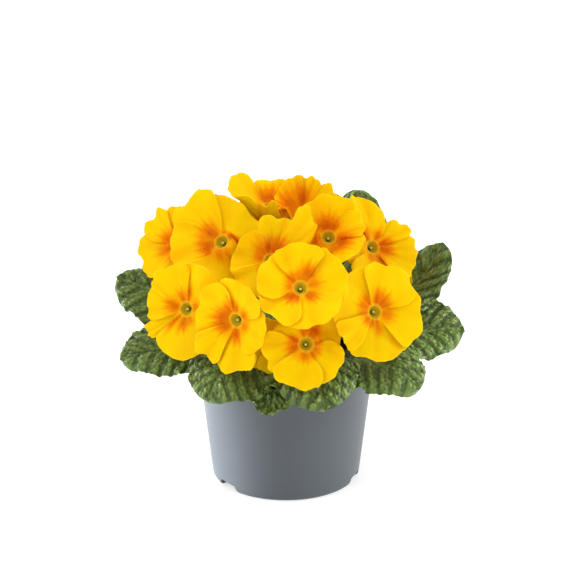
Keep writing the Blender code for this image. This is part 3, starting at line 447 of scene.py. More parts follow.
def feed(tree, socket, value):
    """Links a socket to another node's, or sets it to a number or a colour."""
    if isinstance(value, bpy.types.NodeSocket):
        tree.links.new(value, socket)
    elif isinstance(value, tuple):
        socket.default_value = (*value, 1.0)
    else:
        socket.default_value = value


def math_node(tree, operation, a, b):
    made = node(tree, "ShaderNodeMath", operation=operation)
    for socket, value in zip(made.inputs, (a, b)):
        feed(tree, socket, value)
    return made.outputs[0]


def ramp(tree, factor, stops):
    made = node(tree, "ShaderNodeValToRGB")
    made.color_ramp.interpolation = "EASE"
    elements = made.color_ramp.elements
    while len(elements) < len(stops):
        elements.new(0.5)
    for element, (place, colour) in zip(elements, stops):
        element.position = place
        element.color = (*colour, 1.0)
    tree.links.new(factor, made.inputs[0])
    return made.outputs["Color"]


def remap(tree, factor, low, high, to_low=0.0, to_high=1.0):
    made = node(tree, "ShaderNodeMapRange")
    tree.links.new(factor, made.inputs["Value"])
    set_inputs(made, {"From Min": low, "From Max": high, "To Min": to_low, "To Max": to_high})
    return made.outputs["Result"]


def blend(tree, factor, a, b):
    made = node(tree, "ShaderNodeMix", data_type="RGBA")
    for socket, value in zip((made.inputs["Factor"], *made.inputs[6:8]), (factor, a, b)):
        feed(tree, socket, value)
    return made.outputs[2]


def paint(tree, shader, factor, stops, layers=()):
    """Colours the shader by a ramp, with other colours laid over it, each by its own share."""
    colour = ramp(tree, factor, stops)
    for share, over in layers:
        colour = blend(tree, share, colour, over)
    tree.links.new(colour, shader.inputs["Base Color"])


def bump(tree, shader, height, distance, strength=1.0, under=None):
    made = node(tree, "ShaderNodeBump")
    set_inputs(made, {"Distance": distance, "Strength": strength})
    tree.links.new(height, made.inputs["Height"])
    if under is not None:
        tree.links.new(under, made.inputs["Normal"])
    tree.links.new(made.outputs["Normal"], shader.inputs["Normal"])
    return made.outputs["Normal"]


def petal_material():
    glow = {"Subsurface Weight": 0.40, "Subsurface Radius": (1.0, 0.6, 0.05), "Subsurface Scale": 0.003}
    values = {"Roughness": 0.55, "Specular IOR Level": 0.03, **glow}
    made, tree, shader = new_material("petal_yellow", values)
    mottle = noise(tree, 90.0, 3.0)
    uneven = remap(tree, mottle, 0.3, 0.7, 0.85, 1.1)
    flare = math_node(tree, "MULTIPLY", attribute(tree, "flare"), uneven)
    layers = (
        (remap(tree, mottle, 0.40, 0.72, 0.0, 0.34), (0.91, 0.42, 0.0)),
        # Painted shade: the petals are darkened to gold along their furrows
        (math_node(tree, "MULTIPLY", attribute(tree, "crease"), 0.36), (0.86, 0.33, 0.0)),
        # Painted highlight: a pale line along the petals' rims
        (attribute(tree, "edge"), (1.0, 0.66, 0.05)),
        (attribute(tree, "ring"), (0.84, 0.46, 0.015)),
        (attribute(tree, "throat"), (0.42, 0.30, 0.008)),
    )
    paint(tree, shader, flare, PETAL_RAMP, layers)
    bump(tree, shader, attribute(tree, "streak"), 0.0002, 0.6)
    return made


def leaf_material():
    glow = {"Subsurface Weight": 0.08, "Subsurface Radius": (0.4, 1.0, 0.1), "Subsurface Scale": 0.001}
    values = {"Roughness": 0.43, "Specular IOR Level": 0.4, **glow}
    made, tree, shader = new_material("leaf_green", values)
    mottle = noise(tree, 60.0, 3.0)
    layers = (
        (remap(tree, mottle, 0.35, 0.7, 0.0, 0.35), (0.088, 0.172, 0.006)),
        (math_node(tree, "MULTIPLY", attribute(tree, "base"), 0.75), (0.150, 0.250, 0.008)),
        (attribute(tree, "vein"), (0.27, 0.40, 0.09)),
        # Painted shade: dark brown on the leaves near the plant's heart, under the blooms
        (attribute(tree, "deep"), (0.024, 0.016, 0.004)),
    )
    # The green is painted darker in the hollows and paler on the puffs, as shade and highlight
    paint(tree, shader, attribute(tree, "relief"), LEAF_SHADE_RAMP, layers)
    pores = bump(tree, shader, domes(tree, 620.0), 0.0006, 0.75)
    bump(tree, shader, noise(tree, 1500.0, 3.0, 0.6), 0.0002, 0.5, pores)
    return made


def stalk_material():
    values = {"Roughness": 0.6, "Sheen Weight": 0.05}
    made, tree, shader = new_material("stalk_green", values)
    paint(tree, shader, noise(tree, 120.0, 3.0), STALK_RAMP)
    bump(tree, shader, noise(tree, 1800.0), 0.0002, 0.4)
    return made


def pistil_material():
    values = {"Roughness": 0.7, "Specular IOR Level": 0.1}
    made, tree, shader = new_material("pistil", values)
    paint(tree, shader, noise(tree, 900.0), PISTIL_RAMP)
    return made


def pot_material():
    made, tree, shader = new_material("pot_plastic", {"Specular IOR Level": 0.8})
    paint(tree, shader, noise(tree, 14.0), POT_RAMP)
    grain = noise(tree, 2200.0)
    tree.links.new(remap(tree, grain, 0.3, 0.7, 0.36, 0.44), shader.inputs["Roughness"])
    bump(tree, shader, grain, 0.00004, 0.5)
    return made


def peat_material():
    made, tree, shader = new_material("peat_brown", {"Roughness": 0.95})
    paint(tree, shader, noise(tree, 420.0, 6.0, 0.7), PEAT_RAMP)
    bump(tree, shader, noise(tree, 900.0, 5.0, 0.7), 0.0008, 0.8)
    return made


def floor_material():
    colours = {"Base Color": (0.62, 0.62, 0.62, 1.0), "Emission Color": (1.0, 1.0, 1.0, 1.0)}
    values = {"Emission Strength": 0.60, "Roughness": 0.9, "Specular IOR Level": 0.1, **colours}
    return new_material("studio_floor", values)[0]


# Meshes


def new_object(name, mesh):
    obj = bpy.data.objects.new(name, mesh)
    bpy.context.scene.collection.objects.link(obj)
    return obj


def mesh_of(bm, name):
    """The mesh of a bmesh, which is freed."""
    mesh = bpy.data.meshes.new(name)
    bm.to_mesh(mesh)
    bm.free()
    return mesh


def piece(name, node_name, verts, faces, finish, attributes=None, angle=None):
    """A new piece that stands for a solid, with its own values at its points."""
    mesh = bpy.data.meshes.new(name)
    mesh.from_pydata([tuple(v) for v in verts], [], faces)
    mesh.materials.append(finish)
    mesh.shade_smooth()
    if angle:
        mesh.set_sharp_from_angle(angle=math.radians(angle))
    for key, values in (attributes or {}).items():
        made = mesh.attributes.new(key, "FLOAT", "POINT")
        made.data.foreach_set("value", np.asarray(values, np.float32))
    obj = new_object(name, mesh)
    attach(obj, "root")
    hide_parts(node_name)
    return obj


def shell(obj, thickness, offset):
    modifier = obj.modifiers.new("Shell", "SOLIDIFY")
    modifier.thickness = thickness
    modifier.offset = offset
    return modifier


def bands(rows):
    """Four-sided faces between rows of points, which are given by their numbers."""
    pairs = zip(rows, rows[1:])
    return [(a[k], b[k], b[k + 1], a[k + 1]) for a, b in pairs for k in range(len(a) - 1)]


def grid_rows(first, rows, columns):
    """The numbers of a grid's points, row by row."""
    return [range(first + row * columns, first + (row + 1) * columns) for row in range(rows)]


def ring_faces(rings, count):
    """Four-sided faces between closed rings of points."""
    faces = []
    for row in range(rings - 1):
        for k in range(count):
            a, b = row * count + k, row * count + (k + 1) % count
            faces.append((a, b, b + count, a + count))
    return faces


class Spread:
    """Carries values given at some points of a plane smoothly to any others, by cubic radial bases."""

    def __init__(self, points, values):
        self.points = np.asarray(points, float)
        count = len(self.points)
        base = self.base(self.points)
        system = np.zeros((count + 3, count + 3))
        system[:count, :count] = base + np.eye(count) * 1e-9
        system[:count, count:] = self.flat(self.points)
        system[count:, :count] = self.flat(self.points).T
        target = np.zeros((count + 3, values.shape[1]))
        target[:count] = values
        self.weights = np.linalg.solve(system, target)

    def base(self, points):
        apart = np.linalg.norm(points[:, None, :] - self.points[None, :, :], axis=2)
        return (apart * 40) ** 3

    def flat(self, points):
        return np.hstack([np.ones((len(points), 1)), points * 40])

    def at(self, points):
        points = np.asarray(points, float)
        return np.hstack([self.base(points), self.flat(points)]) @ self.weights


class Cover:
    """A surface that lies over others: its tree for rays, and points on it and along its edges."""

    def __init__(self, points, faces):
        self.tree = BVHTree.FromPolygons(points, faces)
        self.spots = [points[v] for v in sorted({v for face in faces for v in face})]
        edges = {tuple(sorted((f[k], f[k - 1]))) for f in faces for k in range(len(f))}
        self.spots += [(points[a] + points[b]) / 2 for a, b in sorted(edges)]


def ray_from_heart(point):
    ray = point - HEART
    return ray.normalized(), ray.length


def needed_bends(points, faces, covers, free):
    """How far each point has to go back along its ray to lie under the covers."""
    needs = np.zeros(len(points))
    own = BVHTree.FromPolygons(points, faces)
    for cover in covers:
        for i, point in enumerate(points):
            if not free[i]:
                continue
            ray, distance = ray_from_heart(point)
            hit = cover.tree.ray_cast(HEART, ray, distance + 0.1)
            if hit[0] is not None:
                needs[i] = max(needs[i], distance - (hit[3] - BLOOM_CLEARANCE))
        for spot in cover.spots:
            ray, distance = ray_from_heart(spot)
            hit = own.ray_cast(HEART, ray, distance + 0.1)
            if hit[0] is None:
                continue
            for i in faces[hit[2]]:
                if free[i]:
                    needs[i] = max(needs[i], hit[3] - (distance - BLOOM_CLEARANCE))
    return needs


def spread_bend(points, needs):
    """Spreads each point's own bend over its neighbours, falling off by no more than a slope."""
    spots = np.array([tuple(p) for p in points])
    moved = needs.copy()
    for i in np.nonzero(needs > 0)[0]:
        apart = np.linalg.norm(spots - spots[i], axis=1) - BEND_EVEN_WITHIN
        moved = np.maximum(moved, needs[i] - BEND_SLOPE * np.maximum(apart, 0.0))
    return moved


def distance_to_segment(point, ends):
    start, end = ends
    along = end - start
    share = min(max((point - start).dot(along) / along.length_squared, 0.0), 1.0)
    return (point - start - along * share).length


# Blooms


def drawn(draw, low, high):
    """A chance value for each petal."""
    return [draw.uniform(low, high) for _ in range(PETAL_COUNT)]


class Corolla:
    """One bloom's surface midway through its petals."""

    def __init__(self, index, spec, above):
        throat, azimuth, elevation, self.radius, self.cup, turn, overlap, _, _ = spec
        self.overlap = math.radians(overlap) * 1.6
        self.throat = Vector(throat)
        self.facing = heading(azimuth, elevation)
        side = UP.cross(self.facing).normalized()
        axes = Matrix((side, self.facing.cross(side), self.facing)).transposed().to_4x4()
        self.place = Matrix.Translation(self.throat) @ axes
        self.axis = (self.throat, self.throat - self.facing * (CALYX_RIM + CALYX_LENGTH * 1.4))
        draw = random.Random(100 + index)
        self.set_petals(index + 1, turn, draw)
        self.stand = STANDS.get(index + 1, (0, 1, 0))
        listed = index + 1 in FLARES
        self.flare_lobes = FLARES[index + 1] if listed else self.drawn_flares(draw)
        self.trim(above)
        self.build_coarse()

    def set_petals(self, number, turn, draw):
        """Each petal's span and its chance shape, or its listed shape where it has one."""
        self.waves = [(*wave, draw.uniform(0, math.tau), draw.uniform(0.6, 1.0)) for wave in DISH_WAVES]
        self.lengths = drawn(draw, 0.93, 1.04)
        jogs = drawn(draw, -1.5, 1.5)
        self.folds = drawn(draw, 0, math.tau)
        self.bows = drawn(draw, -PETAL_BOW, PETAL_BOW)
        self.notches = [(draw.uniform(-0.25, 0.25), draw.uniform(0.3, 1.3)) for _ in range(PETAL_COUNT)]
        self.ruffles = drawn(draw, 0, math.tau)
        starts = [turn + 360 / PETAL_COUNT * (k - 0.5) + jogs[k] for k in range(PETAL_COUNT)]
        self.over, self.rises, self.skews = [1] * PETAL_COUNT, NONE, NONE
        if number in PETALS:
            starts, self.over, lengths, self.rises, self.skews = PETALS[number]
            self.lengths = list(lengths)
        pairs = zip(starts, (*starts[1:], starts[0]))
        self.spans = [(math.radians(a), math.radians(a + (b - a) % 360)) for a, b in pairs]
        self.middles = [math.degrees(a + b) / 2 for a, b in self.spans]

    def drawn_flares(self, draw):
        """Two flares to a petal, for the blooms whose own aren't listed."""
        made = []
        for middle in self.middles:
            for side in (-1, 1):
                angle = middle + side * draw.uniform(14, 22)
                made.append((angle, draw.uniform(9, 16), draw.uniform(9, 13), draw.uniform(0.5, 0.95)))
        return tuple(made)

    def rise(self, theta):
        """How far the petals stand up at an angle, blended from the middle of one to the next."""
        if not any(self.rises):
            return 0.0
        order = sorted((m % 360, r) for m, r in zip(self.middles, self.rises))
        angles, heights = zip(*order)
        angles = (angles[-1] - 360, *angles, angles[0] + 360)
        heights = (heights[-1], *heights, heights[0])
        return np.interp(np.degrees(theta) % 360, angles, heights)

    def height(self, rho, theta):
        """The dish of the bloom at a radius and an angle, with the waves that all petals share."""
        out = np.maximum(rho - MOUTH_RADIUS, 0.0)
        q = out / (self.radius - MOUTH_RADIUS)
        dish = 0.0011 * (1 - np.exp(-out / 0.0018)) + self.cup * q**1.6
        wave = sum(
            size * weight * np.sin(k * theta + phase) for k, size, phase, weight in self.waves
        )
        return dish + wave * q * q + self.rise(theta) * q**1.6

    def petal(self, petal, s, t, fine):
        """Points of a petal, with their radius and angle and the petal's reach: s is from -1 to 1
        across it, and t from 0 to 1 along."""
        theta = self.angle(petal, s, t, fine)
        reach = self.radius * self.lengths[petal] * self.outline(petal, s, fine)
        rho = EYE_RADIUS + (reach - EYE_RADIUS) * t
        first_lift = 1.0 if self.over[petal] else -1.0
        last_lift = -1.0 if self.over[(petal + 1) % PETAL_COUNT] else 1.0
        lift = PETAL_EDGE_LIFT * (first_lift * (1 - s) / 2 + last_lift * (1 + s) / 2)
        lift = lift * smooth(0.0, 0.25, t)
        fold = PETAL_FOLD * t * t * (1 - s * s) * np.sin(math.pi * s * 1.5 + self.folds[petal])
        z = self.height(rho, theta) + lift + fold
        if fine:
            z = self.ruffled(petal, s, t, theta, z)
        x, y = rho * np.cos(theta), rho * np.sin(theta)
        return np.stack(np.broadcast_arrays(x, y, z), axis=-1), rho, theta, reach

    def angle(self, petal, s, t, fine):
        """The angle of a petal's points, which laps over or under its neighbours."""
        after = (petal + 1) % PETAL_COUNT
        start, end = self.spans[petal]
        lap = smooth(0.0, 0.30, t) if fine else smooth(PETAL_MEETS_AT, PETAL_LAPS_AT, t)
        lap = lap * min(self.overlap, (end - start) / 2)
        slit = 0.0 if fine else PETAL_SLIT * np.minimum(t * 4, 1.0)
        bow = np.sin(math.pi * t)
        start = start + self.bows[petal] * bow
        end = end + self.bows[after] * bow
        first = start + slit - lap * (1 - self.over[petal])
        last = end - slit + lap * self.over[after]
        narrow = 1.0 - PETAL_ROUNDING * np.maximum((t - 0.55) / 0.45, 0.0) ** 2
        return (first + last) / 2 + s * (last - first) / 2 * narrow

    def outline(self, petal, s, fine):
        """How long a petal is along each line from its foot, as a share of its length."""
        place, depth = self.notches[petal]
        notch = PETAL_NOTCH * depth * np.exp(-(((s - place) / 0.22) ** 2))
        made = 1.0 - PETAL_SHOULDER * np.abs(s) ** 5 - notch + self.skews[petal] * s
        if fine:
            a, b = self.folds[petal], self.ruffles[petal]
            for (count, size), phase in zip(OUTLINE_RUFFLES, (a, b, a + b)):
                made = made + size * np.sin(count * s + phase)
        return made

    def ruffled(self, petal, s, t, theta, z):
        """A petal's height with the ruffles and the rolled edge of its rim, and its furrows."""
        rim = smooth(0.55, 1.0, t)
        for power, (count, size) in enumerate(RIM_RUFFLES, 1):
            z = z + rim**power * size * np.sin(count * theta + self.ruffles[power - 1])
        z = z - PETAL_ROLL * t**7 * (1 + 0.6 * np.sin(3.0 * theta + self.ruffles[2]))
        return z - PETAL_CREASE * self.crease(petal, s, t)

    def crease(self, petal, s, t):
        """Two soft furrows that run out to a petal's rim, which also mark where shade is painted along
        them.
        """
        fold = self.folds[petal]
        first = 0.50 * math.sin(fold)
        second = -0.75 * math.cos(fold + self.ruffles[petal])
        deep = (0.75 + 0.25 * math.sin(2 * fold)) * np.exp(-(((s - first) / 0.20) ** 2))
        slight = 0.55 * np.exp(-(((s - second) / 0.14) ** 2))
        return np.maximum(deep, slight) * smooth(0.15, 0.65, t)

    def world(self, points):
        flat = np.asarray(points, float).reshape(-1, 3)
        turn = np.array(self.place.to_3x3())
        return flat @ turn.T + np.array(self.throat)

    def trim(self, above):
        """Shortens each petal until it stops clear of the calyces of the blooms above."""
        across = np.linspace(-1, 1, COARSE_ACROSS + 1)[None, :]
        along = np.array(COARSE_ROWS)[:, None]
        for petal in range(PETAL_COUNT):
            for _ in range(TRIM_ROUNDS):
                points = self.world(self.petal(petal, across, along, False)[0])
                if not self.meets(points, above):
                    break
                self.lengths[petal] *= TRIM_SHARE

    def meets(self, points, above):
        for spot in map(Vector, points):
            inward = (HEART - spot).normalized()
            for other in above:
                for deeper in TRIM_DEPTHS:
                    if distance_to_segment(spot + inward * deeper, other.axis) < STALK_CLEARANCE:
                        return True
        return False

    def build_coarse(self):
        """The coarse points and triangles of each petal, which are bent under the covers."""
        across = np.linspace(-1, 1, COARSE_ACROSS + 1)[None, :]
        along = np.array((0.0, *COARSE_ROWS))[:, None]
        self.points, self.flat, self.grip, self.faces = [], [], [], []
        width = COARSE_ACROSS + 1
        for petal in range(PETAL_COUNT):
            local = self.petal(petal, across, along, False)[0].reshape(-1, 3)
            for a, b, c, d in bands(grid_rows(len(self.points), len(along), width)):
                self.faces += [(a, b, c), (a, c, d)]
            self.points += [Vector(p) for p in self.world(local)]
            self.flat.append(local[:, :2])
            self.grip += list(np.repeat(smooth(0.0, 0.30, along.ravel()), width))
        self.rest = [p.copy() for p in self.points]

    def tuck(self, covers):
        """Bends the petals under the covers, and keeps the bends for the fine surface."""
        free = [share > 0 for share in self.grip]
        for _ in range(BEND_ROUNDS):
            needs = needed_bends(self.points, self.faces, covers, free)
            if needs.max() < BEND_ENOUGH:
                break
            bends = spread_bend(self.points, needs)
            for i, bend in enumerate(bends):
                self.points[i] -= ray_from_heart(self.points[i])[0] * float(bend) * self.grip[i]
        count = len(self.points) // PETAL_COUNT
        moved = np.array([tuple(p - q) for p, q in zip(self.points, self.rest)])
        self.bends = []
        for petal in range(PETAL_COUNT):
            part = slice(petal * count, (petal + 1) * count)
            self.bends.append(Spread(self.flat[petal], moved[part]))

    def cover(self):
        return Cover(self.points, self.faces)

    def flares(self, theta, rho):
        """How orange the bloom is at a radius and an angle: its flares, over a glow round the eye."""
        theta, rho = np.broadcast_arrays(theta, rho)
        total = FLARE_GLOW * smooth(0.0120, 0.0050, rho)
        for angle, width, reach, strength in self.flare_lobes:
            away = (theta - math.radians(angle) + math.pi) % math.tau - math.pi
            away = away / (math.radians(width) * (1.08 + 0.15 * rho / 0.008))
            ragged = 1 + 0.09 * np.sin(23 * theta + angle) + 0.06 * np.sin(41 * theta + 2 * angle)
            along = smooth(FLARE_END * reach * ragged, FLARE_FULL * reach, rho)
            total = total + 1.15 * strength * np.exp(-(away**2)) * along * (1 - 0.3 * total)
        fringe = 0.05 * np.sin(61 * theta + self.folds[0]) + 0.04 * np.sin(97 * theta + self.folds[1])
        return np.clip(total * (1 + fringe), 0.0, 1.0)

    def build_fine(self):
        """The fine surface: its points, faces and the values that its colours are made from."""
        x = np.linspace(-1, 1, PETAL_ACROSS + 1)
        s = (0.7 * x + 0.3 * np.sin(x * math.pi / 2))[None, :]
        t = (1 - (1 - np.linspace(0, 1, PETAL_ALONG + 1)) ** 1.15)[:, None]
        theta = np.concatenate([np.interp(s[0, :-1], (-1, 1), span) for span in self.spans])
        points = []
        values = {key: [] for key in BLOOM_VALUES}
        self.add_eye(points, values, theta)
        faces = ring_faces(len(points) // len(theta), len(theta))
        columns = PETAL_ACROSS + 1
        for petal in range(PETAL_COUNT):
            foot = [(petal * PETAL_ACROSS + k) % len(theta) for k in range(columns)]
            faces += bands([foot, *grid_rows(len(points), PETAL_ALONG, columns)])
            self.add_petal(petal, s, t, points, values)
        return points, faces, values

    def add_petal(self, petal, s, t, points, values):
        """A petal's fine points and values, but for the row at its foot, which is the eye's."""
        local, rho, theta, reach = self.petal(petal, s, t, True)
        shift = self.bends[petal].at(local[..., :2].reshape(-1, 2))
        hold = np.repeat(smooth(0.0, 0.12, t.ravel()), s.size)[:, None]
        world = self.world(local) + shift * hold
        world += self.standing(theta, t).reshape(-1, 1) * np.array(self.facing)
        points += list(world[s.size :])
        inside = np.minimum((1 - t) * reach, (1 - np.abs(s)) * rho * 0.6)
        made = {
            "flare": self.flares(theta, rho),
            # A painted highlight along the rims of the petals
            "edge": 0.22 * np.exp(-((inside / 0.00035) ** 2)) * smooth(0.3, 0.6, t),
            "streak": 0.5 + 0.3 * np.sin(s * 41 + self.folds[petal]) + 0.2 * np.sin(s * 67 + 1.3),
            # The furrows, which also carry the painted shade along them
            "crease": self.crease(petal, s, t),
        }
        for key, row in values.items():
            row += list(np.broadcast_to(made.get(key, 0.0), local.shape[:2])[1:].ravel())

    def standing(self, theta, t):
        middle, half_width, height = self.stand
        away = (np.degrees(theta) - middle + 180) % 360 - 180
        return height * np.exp(-((away / half_width) ** 2)) * t**1.3

    def add_eye(self, points, values, theta):
        """Rings from the foot of the petals over the raised eye and down the tube."""
        rings = [(radius, 0.0) for radius in np.linspace(EYE_RADIUS, EYE_LIP_RADIUS, EYE_LIP_RINGS)]
        for radius, depth in (*rings, *EYE_RINGS):
            raised = 0.0004 * math.exp(-(((radius - 0.0040) / 0.0006) ** 2))
            z = self.height(radius, theta) + raised - depth
            local = np.stack([radius * np.cos(theta), radius * np.sin(theta), z], axis=-1)
            points += list(self.world(local))
            made = {
                "flare": self.flares(theta, radius),
                "ring": 0.55 * smooth(0.0054, 0.0042, radius),
                "throat": smooth(0.0044, 0.0027, radius),
                "streak": 0.5,
            }
            for key, row in values.items():
                row += list(np.broadcast_to(made.get(key, 0.0), theta.shape))


def make_blooms(finish):
    corollas, covers = [], []
    for index, spec in enumerate(BLOOMS):
        corolla = Corolla(index, spec, corollas)
        corolla.tuck(covers)
        covers.append(corolla.cover())
        corollas.append(corolla)
        name = f"bloom_{index + 1:02d}"
        points, faces, values = corolla.build_fine()
        obj = piece(f"{name}_petals", name, points, faces, finish, values)
        shell(obj, PETAL_THICKNESS, 0.0)
    return corollas


def make_pistil(index, corolla, finish):
    """The pin-headed style in the tube's mouth."""
    bm = bmesh.new()
    bmesh.ops.create_uvsphere(bm, u_segments=14, v_segments=10, radius=PISTIL_RADIUS)
    bmesh.ops.translate(bm, vec=(0.0, 0.0, -PISTIL_DEPTH), verts=bm.verts)
    ends = {"radius1": STYLE_RADIUS, "radius2": STYLE_RADIUS, "depth": STYLE_LENGTH}
    style = bmesh.ops.create_cone(bm, cap_ends=True, segments=8, **ends)
    bmesh.ops.translate(bm, vec=(0.0, 0.0, -STYLE_DEPTH), verts=style["verts"])
    bmesh.ops.transform(bm, matrix=corolla.place, verts=bm.verts)
    mesh = mesh_of(bm, f"pistil_{index + 1:02d}")
    mesh.materials.append(finish)
    mesh.shade_smooth()
    obj = new_object(mesh.name, mesh)
    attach(obj, "root")


# Stalks


def stalk_path(corolla, start):
    """The stalk's middle line, from where it leaves the peat to the bottom of the calyx."""
    head = corolla.throat - corolla.facing * (CALYX_RIM + CALYX_LENGTH)
    rise = (head - start).length
    return (start, start + UP * rise * 0.45, head - corolla.facing * rise * 0.20, head)


def round_ring(middle, side, up, radius, angled):
    """A ring round a point: angled is how far its five angles stand out."""
    made = []
    for k in range(STALK_SIDES):
        theta = math.tau * k / STALK_SIDES
        wide = radius * (1 + angled * math.cos(PETAL_COUNT * theta))
        made.append(middle + side * wide * math.cos(theta) + up * wide * math.sin(theta))
    return made


def stalk_rings(corolla, side, foot):
    """Rings from the stalk's foot in the peat to the bottom of the calyx."""
    start = Vector((foot.x, foot.y, PEAT_TOP + 0.0025))
    path = stalk_path(corolla, start)
    rings = []
    for k in range(STALK_RINGS + 1):
        share = k / STALK_RINGS
        along = bezier_slope(path, share).normalized()
        level_up = along.cross(side).normalized()
        radius = STALK_RADIUS * (1.0 + 0.25 * share**4)
        rings.append(round_ring(bezier(path, share), level_up.cross(along), level_up, radius, 0.0))
    return [[p + (foot - start) for p in rings[0]], *rings]


def toothed_ring(corolla, side, up, radius, height):
    """A ring at the calyx's rim: height is the share of its teeth's height that it stands at."""
    ring = round_ring(corolla.throat - corolla.facing * CALYX_RIM, side, up, radius, CALYX_RIM_ANGLED)
    for k in range(STALK_SIDES):
        wave = abs(((k * PETAL_COUNT / STALK_SIDES + 0.5) % 1.0) * 2 - 1)
        tooth = CALYX_TOOTH * (1.7 * (1 - wave) ** 1.2 - 0.25) * height
        ring[k] = ring[k] + corolla.facing * tooth
    return ring


def make_stalk(index, corolla, spec, finish):
    """A stalk that swells into a calyx with five angles and five teeth, as one closed skin."""
    *_, foot_radius, foot_azimuth = spec
    foot = heading(foot_azimuth) * foot_radius
    foot.z = PEAT_TOP - HOLE_DEPTH
    side, up = corolla.place.to_3x3().col[0], corolla.place.to_3x3().col[1]
    facing, throat = corolla.facing, corolla.throat
    rings = stalk_rings(corolla, side, foot)
    for share, radius, angled in CALYX_RINGS:
        middle = throat - facing * (CALYX_RIM + CALYX_LENGTH * share)
        rings.append(round_ring(middle, side, up, radius, angled))
    for height, radius in ((1.0, CALYX_RADIUS * 1.02), (1.0, CALYX_BORE * 1.06), (0.0, CALYX_BORE)):
        rings.append(toothed_ring(corolla, side, up, radius, height))
    floor = throat - facing * (TUBE_LENGTH + 0.0004)
    rings.append(round_ring(floor, side, up, CALYX_BORE_FLOOR, 0.0))
    verts = [p for ring in rings for p in ring]
    first, *_, last = grid_rows(0, len(rings), STALK_SIDES)
    faces = [tuple(reversed(first)), *ring_faces(len(rings), STALK_SIDES), tuple(last)]
    name = f"stalk_{index + 1:02d}"
    piece(f"{name}_skin", name, verts, faces, finish, angle=50)


# Leaves


